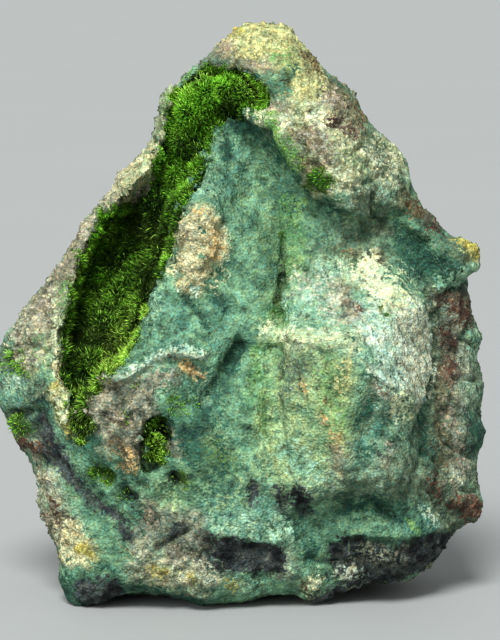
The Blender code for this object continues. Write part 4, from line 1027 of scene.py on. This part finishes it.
def stoneRelief(points, coat, seen, covered, inHollow):
    # lift of each point in mm and shade of its granules: lumps, sharp-crested crags, fine roughness, granules
    # and a ragged rim, less the marks' cuts, plus the ledges' steps; none at the seat, less in the hollows,
    # and covered rock is let down behind the bed
    across, up, _ = toView(points)
    roughness = rock["leastRough"] + coat["rough"] / rock["roughUnit"]
    lift = rock["lumpHeight"] * layeredWaves(31, rock["lumpSize"], points, 3, 0.6)
    crest = 0.5 - 1.5 * np.abs(layeredWaves(37, rock["cragSize"], points, 3, 0.7))
    lift += rock["cragHeight"] * roughness * crest
    lift += rock["fineHeight"] * roughness * layeredWaves(41, rock["fineSize"], points, 3, 0.85)
    granuleLift, shade = granules(points, coat["grain"])
    lift += granuleLift
    ragged = 1.0 + 0.45 * waves(63, 0.7, points)
    sway = 0.45 * waves(65, 1.9, points) + 0.2 * waves(66, 0.7, points)
    rim = np.exp(-((insideHollow(across, up) - rock["rimPlace"]) / rock["rimWidth"]) ** 2)
    lift += rock["rimRagged"] * rim * layeredWaves(67, 1.5, points, 3, 0.8)
    for path, depth, half in marks:
        distance, _, _ = alongPath(path, across, up)
        lift -= depth * seen * np.exp(-(distance / (half * ragged)) ** 2)
    for path, height, reach in ledges:
        distance, side, _ = alongPath(path, across, up)
        lift += height * seen * smoothStep(side + sway, -0.16, 0.16) * np.exp(-(distance / reach) ** 2)
    start = rock["seatStart"]
    aboveSeat = smoothStep(points[:, 2], start, start + rock["seatBand"])
    lift *= aboveSeat * (1.0 - rock["calmInHollow"] * inHollow)
    return lift * (1.0 - covered) - rock["behindBed"] * covered, shade


def makeRock():
    # the shaped stone is stained, the hollows are painted the bed's deep green (partly painted shade among
    # the needles), and the relief is added
    thing, points, triangles, covered = shapeStone()
    normals = pointNormals(points, triangles)
    facing = np.sum(normals * towardsEye(points), axis=1)
    across, up, _ = toView(points)
    seen = smoothStep(facing, *rock["seenFacing"])
    coat = stainStone(points, across, up, seen)
    share = insideHollow(across, up) + rock["paintWobble"] * waves(61, 0.9, points)
    inHollow = (1.0 - smoothStep(share, *rock["paintShare"])) * seen * (1.0 - bareShare(across, up))
    layCoat(coat, "bed", inHollow * rock["paintStrength"])
    lift, shade = stoneRelief(points, coat, seen, covered, inHollow)
    points = points + normals * lift[:, None]
    points[:, 2] = np.maximum(points[:, 2], 0.0)
    writePoints(thing.data, points)
    smoothShaded(thing.data)
    writeCoat(thing.data, coat, shade)
    print("rock:", len(points), "points,", len(triangles), "triangles")
    return thing, points, pointNormals(points, triangles), triangles, facing


def stoneMaterial():
    # the under tone turned into the upper one by its share, broken up by fine noise where the share is
    # neither none nor whole, then speckled by the earthy crust with its painted shade in pits and gaps, whose
    # height is the bump
    material, tree, shader = newMaterial("stainedRock")
    under = addNode(tree, "ShaderNodeAttribute", {"attribute_name": "under"}).outputs["Color"]
    over = addNode(tree, "ShaderNodeAttribute", {"attribute_name": "over"}).outputs["Color"]
    share = addNode(tree, "ShaderNodeAttribute", {"attribute_name": "share"}).outputs["Fac"]
    grain = addNode(tree, "ShaderNodeAttribute", {"attribute_name": "grain"}).outputs["Fac"]
    place = addNode(tree, "ShaderNodeTexCoord").outputs["Object"]
    breaking = addNode(tree, "ShaderNodeTexNoise", None, Vector=place, Scale=rock["breakScale"], Detail=3.0,
                       Roughness=0.65)
    push = spread(tree, breaking.outputs[0], *earth["even"], -1.0, 1.0)
    rest = mathNode(tree, "SUBTRACT", 1.0, share)
    between = mathNode(tree, "MULTIPLY", mathNode(tree, "MULTIPLY", share, rest), 4.0)
    pushing = mathNode(tree, "MULTIPLY", mathNode(tree, "MULTIPLY", push, between), rock["breakPush"])
    pushed = mathNode(tree, "ADD", share, pushing)
    tone = mixColours(tree, spread(tree, pushed, 0.3, 0.7), under, over)
    speckle = tree.nodes.new("ShaderNodeGroup")
    speckle.node_tree = speckleAndPitShadeGroup
    tree.links.new(tone, speckle.inputs["Tone"])
    tree.links.new(grain, speckle.inputs["Grainy"])
    speckle.inputs["Contrast"].default_value = 1.0
    tree.links.new(speckle.outputs["Tone"], shader.inputs["Base Color"])
    bump = addNode(tree, "ShaderNodeBump", None, Strength=rock["bump"], Distance=rock["bumpDistance"],
                   Height=speckle.outputs["Height"])
    tree.links.new(bump.outputs["Normal"], shader.inputs["Normal"])
    shader.inputs["Roughness"].default_value = rock["roughness"]
    shader.inputs["Specular IOR Level"].default_value = rock["shine"]
    return material


rockThing, rockPoints, rockNormals, rockTriangles, rockFacing = makeRock()
rockThing.data.materials.clear()
rockThing.data.materials.append(stoneMaterial())
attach(rockThing, "root")
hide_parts("matrix")
print("rock is stained and shaded")

# The needles, sizes in mm: length and how it varies, radius, where they are widest, how deep they stand and
# how they lean; how tufts are spaced; which of the rock's wall they cover; painted light and shade, painted
# glints, and yellow; tones, with painted shade at the root and painted light at the tip, and finish
needles = {
    "length": 0.68, "lengthSpread": 0.6, "tuftLengths": (0.7, 1.3), "middleLength": 1.3, "outerShorter": 0.65,
    "rimShorter": 0.4, "radius": 0.037, "radiusSpread": (0.65, 1.35), "widestAt": 0.66, "rootSunk": 0.15,
    "outwardLean": 0.3, "tuftSpacing": 1.15, "leastTufts": 4, "wallShare": (0.66, 0.98), "wallFacing": -0.4,
    "glintFrom": 0.93, "glintLight": 0.55, "glintYellow": 0.35, "tuftLight": 0.34, "middleLight": 0.12,
    "outerDarker": 0.34, "shade": (0.08, 1.9), "shadedRootTone": (10, 30, 2), "middleTone": (42, 118, 5),
    "litTipTone": (120, 196, 38), "litYellowTipTone": (208, 236, 104), "roughness": 0.35, "shine": 0.14,
}

# Crusts of needles: the CAD's crust they stand on, how many, the lowest and highest place on the view, their
# length, how far below a tuft's middle they fan out from, how loose they are, their painted light (low in
# the deep hollow as painted shade), how yellow they are, and how many tufts there are (none: by area)
crusts = {
    "needles_upper_mat": {
        "node": "main_needle_crust", "count": 32000, "seed": 201, "low": 12.5, "high": 99.0, "length": 1.05,
        "fan": 0.5, "loose": 0.65, "lit": 0.31, "warm": 0.0, "tufts": None},
    "needles_hollow_top": {
        "node": "main_needle_crust", "count": 32000, "seed": 211, "low": 4.0, "high": 12.5, "length": 1.25,
        "fan": 0.55, "loose": 0.6, "lit": 0.06, "warm": 0.0, "tufts": None},
    "needles_hollow_foot": {
        "node": "main_needle_crust", "count": 32000, "seed": 221, "low": -99.0, "high": 4.0, "length": 1.2,
        "fan": 0.55, "loose": 0.6, "lit": 0.05, "warm": 0.1, "tufts": None},
    "needles_lip": {
        "node": "lip_needle_crust", "count": 1700, "seed": 231, "low": -99.0, "high": 99.0, "length": 1.35,
        "fan": 0.6, "loose": 0.25, "lit": 0.42, "warm": 0.5, "tufts": 3},
    "needles_pocket": {
        "node": "pocket_needle_crust", "count": 2600, "seed": 241, "low": -99.0, "high": 99.0, "length": 1.0,
        "fan": 0.4, "loose": 0.45, "lit": 0.16, "warm": 0.15, "tufts": 9},
}


def scatter(points, normals, triangles, weight, count, seed):
    # random spots on triangles, as many on each as its area times its weight, with the normals between its
    # corners, and the weighted area of them all
    random = np.random.default_rng(seed)
    corner = points[triangles]
    area = np.linalg.norm(np.cross(corner[:, 1] - corner[:, 0], corner[:, 2] - corner[:, 0]), axis=1) / 2.0
    chance = area * weight[triangles].mean(axis=1)
    picked = triangles[random.choice(len(triangles), count, p=chance / chance.sum())]
    first, second = np.sqrt(random.random(count))[:, None], random.random(count)[:, None]
    parts = np.stack((1.0 - first, first * (1.0 - second), first * second), axis=1)
    return (points[picked] * parts).sum(axis=1), unit((normals[picked] * parts).sum(axis=1)), chance.sum()


def nearestOf(spots, centres):
    # number of the nearest centre for each spot, worked out in blocks to save memory
    size = 4000
    found = np.empty(len(spots), int)
    for start in range(0, len(spots), size):
        block = spots[start:start + size]
        found[start:start + size] = ((block[:, None] - centres[None]) ** 2).sum(axis=2).argmin(axis=1)
    return found


def needleMesh(name, roots, directions, lengths, radius, lit, warm):
    # each needle is a slender three-sided spindle: root, widest ring, tip
    count = len(roots)
    random = np.random.default_rng(count)
    spin = random.uniform(0.0, 2.0 * math.pi, count)
    other = np.where(np.abs(directions[:, 2:]) < 0.8, np.array((0.0, 0.0, 1.0)), np.array((1.0, 0.0, 0.0)))
    sideways = unit(np.cross(directions, other))
    upright = np.cross(directions, sideways)
    turns = spin[:, None] + np.arange(3) * 2.0 * math.pi / 3.0
    ring = np.cos(turns)[..., None] * sideways[:, None] + np.sin(turns)[..., None] * upright[:, None]
    reach = directions * lengths[:, None]
    middle = (roots + reach * needles["widestAt"])[:, None] + ring * radius[:, None, None]
    points = np.concatenate((roots[:, None], middle, (roots + reach)[:, None]), axis=1).reshape(-1, 3)
    face = np.array([(0, 2, 1), (0, 3, 2), (0, 1, 3), (4, 1, 2), (4, 2, 3), (4, 3, 1)])
    triangles = (face[None] + 5 * np.arange(count)[:, None, None]).reshape(-1, 3)
    thing = trianglePiece(name, points, triangles)
    widest = needles["widestAt"]
    writeValues(thing.data, "along", np.tile(np.array((0.0, widest, widest, widest, 1.0)), count))
    writeValues(thing.data, "lit", np.repeat(lit, 5))
    writeValues(thing.data, "warm", np.repeat(warm, 5))
    thing.data.materials.append(needleFinish)
    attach(thing, "root")


def needleMaterial():
    # root to middle to tip along each needle, dark at the root by painted shade and light at the tip by
    # painted light, both turned yellower by warm, the whole times its painted light and shade
    material, tree, shader = newMaterial("greenNeedles")
    along, lit, warm = (addNode(tree, "ShaderNodeAttribute", {"attribute_name": name}).outputs["Fac"]
                        for name in ("along", "lit", "warm"))
    root, middle, tip, warmTip = ((*linear(needles[key]), 1.0)
                                  for key in ("shadedRootTone", "middleTone", "litTipTone", "litYellowTipTone"))
    lower = mixColours(tree, spread(tree, along, 0.0, 0.55), root, mixColours(tree, warm, middle, tip))
    whole = mixColours(tree, spread(tree, along, 0.5, 1.0), lower, mixColours(tree, warm, tip, warmTip))
    shade = spread(tree, lit, 0.0, 1.0, *needles["shade"])
    shadeColour = addNode(tree, "ShaderNodeCombineColor", i0=shade, i1=shade, i2=shade).outputs[0]
    tree.links.new(mixColours(tree, 1.0, whole, shadeColour, "MULTIPLY"), shader.inputs["Base Color"])
    shader.inputs["Roughness"].default_value = needles["roughness"]
    shader.inputs["Specular IOR Level"].default_value = needles["shine"]
    return material


needleFinish = needleMaterial()

# Painted light and painted shade on the needles, and where they are yellower: across, up and reach in mm,
# how much brighter by painted light (less than 0: darker by painted shade), how much yellower
paintedNeedleLight = (
    (-13.6, 10.6, 2.2, 0.42, 0.15), (-10.8, 10.4, 1.9, -0.42, 0.0), (-9.0, 8.0, 1.6, -0.25, 0.1),
    (-8.4, 6.4, 1.2, 0.25, 0.3), (-12.6, 6.4, 1.8, -0.1, 0.0), (-9.9, 3.9, 1.5, -0.45, 0.0),
    (-16.0, 6.8, 1.6, 0.2, 0.1), (-17.0, 2.6, 1.5, 0.12, 0.15), (-13.0, 2.0, 2.2, 0.05, 0.1),
    (-14.6, -2.4, 1.8, -0.42, 0.0), (-10.8, 0.4, 1.6, 0.2, 0.45), (-12.4, -2.6, 1.8, 0.3, 0.6),
    (-14.2, -5.2, 1.6, 0.35, 0.6), (-17.6, -2.6, 1.4, -0.15, 0.0), (-5.8, 17.2, 1.3, -0.5, 0.0),
    (-6.6, 15.4, 1.3, -0.2, 0.0), (-5.4, 13.4, 1.4, 0.05, 0.3), (-6.6, 19.6, 1.8, 0.15, 0.1),
    (-3.4, 23.0, 2.4, 0.12, 0.05), (-0.6, 21.4, 1.4, -0.3, 0.0), (-9.2, -11.1, 0.8, 0.6, 0.6),
    (-2.6, 20.6, 1.6, -0.3, 0.0), (0.8, 22.6, 1.2, 0.2, 0.2), (-7.6, 22.2, 1.2, 0.2, 0.2),
    (-8.6, 14.4, 1.4, -0.1, 0.1),
)


def paintedNeedleLightAt(across, up):
    # sums of soft round spots of painted light and shade, and of yellow
    bright, yellow = np.zeros(across.shape), np.zeros(across.shape)
    for spotAcross, spotUp, reach, brighter, yellower in paintedNeedleLight:
        near = np.exp(-((across - spotAcross) ** 2 + (up - spotUp) ** 2) / reach ** 2)
        bright += brighter * near
        yellow += yellower * near
    return bright, yellow


# The crusts' ground, sizes in mm: its faces and smoothing, where the CAD's crust ends as a share of the half
# width, how far its front is let down and how unevenly, and the relief, lift and minerals of its bare spots
bed = {
    "voxel": 0.24, "relaxRounds": 3, "settleRounds": 2, "relaxShare": 0.5, "crustEdge": 0.76, "letDown": 0.75,
    "deeper": 0.8, "deeperUp": (9.0, 14.0), "leastThick": 0.45, "mounds": 1.0, "moundSize": 2.3,
    "rugged": 0.3, "ruggedSize": 0.9, "frontFacing": (0.0, 0.4), "bareRelief": 0.3, "bareUp": 0.9,
    "bareFill": 0.75, "bareFillUp": (-6.0, -4.0), "bareStains": (("rimGrey", 1.0), ("greyPink", 0.35)),
    "tealSlant": 0.25, "tealFrom": (-11.2, -10.2),
}


def makeBed(name, node):
    # the crust's solid, evened and made lumpy, its front let down away from the eye so that the needles reach
    # about as far as it did; bare spots stay up and carry granular rock
    thing = evened(mergedCopy(name, node), bed["voxel"])
    mesh = thing.data
    points, triangles, edges = readPoints(mesh), readTriangles(mesh), readEdges(mesh)
    points = relaxed(points, edges, bed["relaxRounds"], bed["relaxShare"])
    normals = pointNormals(points, triangles)
    across, up, _ = toView(points)
    distance, _, values = alongPath(hollows[node], across, up)
    share = np.clip(distance / (values[:, 0] * bed["crustEdge"]), 0.0, 1.0)
    thick = values[:, 1] * np.sqrt(1.0 - share ** 2)
    deeper = bed["deeper"] * (1.0 - smoothStep(up, *bed["deeperUp"]))
    uneven = bed["mounds"] * waves(97, bed["moundSize"], points)
    uneven = uneven + bed["rugged"] * layeredWaves(96, bed["ruggedSize"], points, 2)
    bare = bareShare(across, up)
    drop = np.minimum(thick - bed["leastThick"], (bed["letDown"] + deeper) * (1.0 - uneven))
    drop = np.clip(drop, 0.0, None) * (1.0 - bed["bareUp"] * bare)
    toEye = towardsEye(points)
    front = smoothStep(np.sum(normals * toEye, axis=1), *bed["frontFacing"])
    fill = bed["bareFill"] * bare * smoothStep(up, *bed["bareFillUp"])
    lowered = points - toEye * ((drop - fill) * front)[:, None]
    points = relaxed(lowered, edges, bed["settleRounds"], bed["relaxShare"])
    # the bed's deep green, partly painted shade deep among the needles
    coat = firstCoat(points, "bed")
    for mineral, strength in bed["bareStains"]:
        layCoat(coat, mineral, bare * strength)
    layCoat(coat, "teal", bare * smoothStep(across - bed["tealSlant"] * up, *bed["tealFrom"]))
    granuleLift, shade = granules(points, coat["grain"])
    rugged = granuleLift + bed["bareRelief"] * layeredWaves(94, 0.9, points, 3, 0.8)
    points = points + pointNormals(points, triangles) * (rugged * bare * front)[:, None]
    writePoints(mesh, points)
    smoothShaded(mesh)
    writeCoat(mesh, coat, shade)
    mesh.materials.clear()
    mesh.materials.append(rockThing.data.materials[0])
    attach(thing, "root")
    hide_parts(node)
    return points, pointNormals(points, triangles), triangles, front


def growCrust(name, crust):
    # needles on the bed and on the bare wall up to the hollow's ragged rim; each leans away from a point
    # below its nearest tuft's middle, and is shorter, and darker by painted shade, the further out it stands
    node, count, seed = crust["node"], crust["count"], crust["seed"]
    random = np.random.default_rng(seed)
    bedPoints, bedNormals, bedTriangles, bedFront = beds[node]
    path = [place[:3] for place in hollows[node]]
    across, up, _ = toView(rockPoints)
    distance, _, values = alongPath(path, across, up)
    share = distance / values[:, 0] + 0.09 * waves(61, 0.9, rockPoints) + 0.05 * waves(62, 2.2, rockPoints)
    inner, outer = needles["wallShare"]
    wall = ((share > inner) & (share < outer) & (rockFacing > needles["wallFacing"])).astype(float)
    points = np.vstack((bedPoints, rockPoints))
    normals = np.vstack((bedNormals, rockNormals))
    triangles = np.vstack((bedTriangles, rockTriangles + len(bedPoints)))
    sides, heights, _ = toView(points)
    weight = np.concatenate((bedFront, wall)) * ((heights > crust["low"]) & (heights <= crust["high"]))
    weight = weight * (1.0 - bareShare(sides, heights))
    roots, outward, covered = scatter(points, normals, triangles, weight, count, seed)
    tuftCount = crust["tufts"] or max(int(covered / needles["tuftSpacing"] ** 2), needles["leastTufts"])
    centres, centreNormals, _ = scatter(points, normals, triangles, weight, tuftCount, seed + 1)
    nearest = nearestOf(roots, centres)
    focus = centres[nearest] - centreNormals[nearest] * crust["fan"]
    direction = unit(roots - focus) + needles["outwardLean"] * outward
    direction = unit(direction + crust["loose"] * random.normal(size=direction.shape))
    across, up, _ = toView(roots)
    distance, _, values = alongPath(path, across, up)
    byRim = smoothStep(distance / values[:, 0], 0.7, 1.0)
    tuftLengths = random.uniform(*needles["tuftLengths"], tuftCount)
    lengths = needles["length"] * crust["length"] * tuftLengths[nearest]
    lengths *= 1.0 - needles["rimShorter"] * byRim
    lengths *= 1.0 + needles["lengthSpread"] * random.uniform(-1.0, 1.0, count)
    out = np.clip(np.linalg.norm(roots - centres[nearest], axis=1) / needles["tuftSpacing"], 0.0, 1.0)
    lengths *= needles["middleLength"] - needles["outerShorter"] * out
    radius = needles["radius"] * random.uniform(*needles["radiusSpread"], count)
    # painted light and shade from the spots, and their yellow
    bright, yellow = paintedNeedleLightAt(across, up)
    # painted light and shade of each needle: its crust's, the spots', noise, chance, its tuft's and a tuft's
    # middle
    lit = crust["lit"] + bright + 0.22 * layeredWaves(98, 1.3, roots, 3, 0.8)
    lit += 0.16 * random.normal(size=count)
    # a few needles get a painted glint, brighter and yellower
    glint = random.random(count) > needles["glintFrom"]
    lit += needles["tuftLight"] * (random.random(tuftCount)[nearest] - 0.5) + needles["glintLight"] * glint
    lit += needles["middleLight"] - needles["outerDarker"] * out
    warm = crust["warm"] + yellow + needles["glintYellow"] * glint
    warm += 0.3 * smoothStep(layeredWaves(99, 3.5, roots, 2), 0.1, 0.7)
    warm += 0.15 * random.normal(size=count) + 0.4 * smoothStep(random.random(tuftCount)[nearest], 0.85, 0.95)
    needleMesh(name, roots - outward * needles["rootSunk"], direction, lengths, radius,
               np.clip(lit, 0.0, 1.0), np.clip(warm, 0.0, 1.0))
    print(name, count, "needles in", tuftCount, "tufts over", round(covered), "square mm")


beds = {node: makeBed(node.replace("crust", "bed"), node) for node in hollows}
for crustName, crustValues in crusts.items():
    growCrust(crustName, crustValues)
print("needle crusts are grown")

# Each tuft: across, up, radius in mm, needles for each square mm, length, how yellow
tufts = (
    (-23.4, -4.2, 0.9, 40, 0.9, 0.3), (-22.6, -4.9, 0.6, 40, 0.8, 0.4), (-23.2, -10.5, 0.7, 40, 0.9, 0.5),
    (-17.4, -8.2, 0.7, 40, 1.1, 0.6), (-17.2, -6.9, 0.6, 40, 0.9, 0.5), (-16.7, -10.6, 0.8, 50, 1.3, 0.8),
    (-9.3, -11.0, 0.7, 60, 1.2, 0.9), (-14.8, -15.5, 0.6, 40, 1.1, 0.3), (-14.0, -15.8, 0.5, 30, 0.9, 0.7),
    (-7.1, -15.9, 0.5, 40, 0.9, 0.4), (-12.3, -17.5, 0.5, 40, 0.8, 0.4), (-5.9, -8.6, 0.6, 40, 0.7, 0.4),
    (-7.4, -8.6, 0.6, 40, 0.8, 0.3), (-17.0, 6.4, 0.5, 40, 0.8, 0.3), (-15.4, 8.6, 0.4, 40, 0.7, 0.3),
    (-18.2, 3.0, 0.5, 30, 0.7, 0.4), (-18.6, 0.4, 0.4, 30, 0.7, 0.4), (7.0, 14.4, 0.6, 50, 0.8, 0.0),
    (8.0, 14.0, 0.5, 50, 0.7, 0.0), (1.0, 20.6, 0.5, 40, 0.6, 0.2), (2.3, 20.4, 0.4, 70, 0.45, 0.6),
    (2.8, 19.2, 0.35, 60, 0.4, 0.6), (3.4, 18.2, 0.3, 60, 0.4, 0.5), (4.0, 17.2, 0.3, 60, 0.4, 0.7),
    (4.6, 16.4, 0.3, 60, 0.4, 0.7), (5.0, 15.6, 0.3, 60, 0.4, 0.8), (-3.2, -12.9, 0.8, 25, 0.5, 0.3),
    (-12.6, -9.8, 0.4, 30, 0.7, 0.5), (-11.2, -7.0, 0.4, 30, 0.6, 0.5),
)


def growTufts(name, seed):
    # needles on the rock round each tuft's middle, leaning out from a point below it
    random = np.random.default_rng(seed)
    across, up, depth = toView(rockPoints)
    middles = np.array(tufts)
    gap = np.hypot(across[:, None] - middles[:, 0], up[:, None] - middles[:, 1])
    gap = np.where((rockFacing > 0.0)[:, None], gap, 99.0)
    own = (gap / middles[:, 2]).argmin(axis=1)
    weight = np.where((gap / middles[:, 2]).min(axis=1) < 1.0, middles[own, 3], 0.0)
    centre = rockPoints[gap.argmin(axis=0)]
    normal = rockNormals[gap.argmin(axis=0)]
    count = int((math.pi * middles[:, 2] ** 2 * middles[:, 3]).sum())
    roots, outward, _ = scatter(rockPoints, rockNormals, rockTriangles, weight, count, seed)
    nearest = nearestOf(roots, centre)
    fan = middles[nearest, 2] * 0.7
    direction = unit(roots - centre[nearest] + normal[nearest] * fan[:, None]) + 0.2 * outward
    direction = unit(direction + 0.2 * random.normal(size=direction.shape))
    lengths = middles[nearest, 4] * random.uniform(0.6, 1.25, count)
    radius = needles["radius"] * random.uniform(0.7, 1.5, count)
    # painted light of each needle, spread at random
    lit = np.clip(0.5 + 0.2 * random.normal(size=count), 0.0, 1.0)
    warm = np.clip(middles[nearest, 5] + 0.15 * random.normal(size=count), 0.0, 1.0)
    needleMesh(name, roots - outward * needles["rootSunk"], direction, lengths, radius, lit, warm)
    print(name, count, "needles in", len(middles), "tufts")


growTufts("needle_tufts", 301)
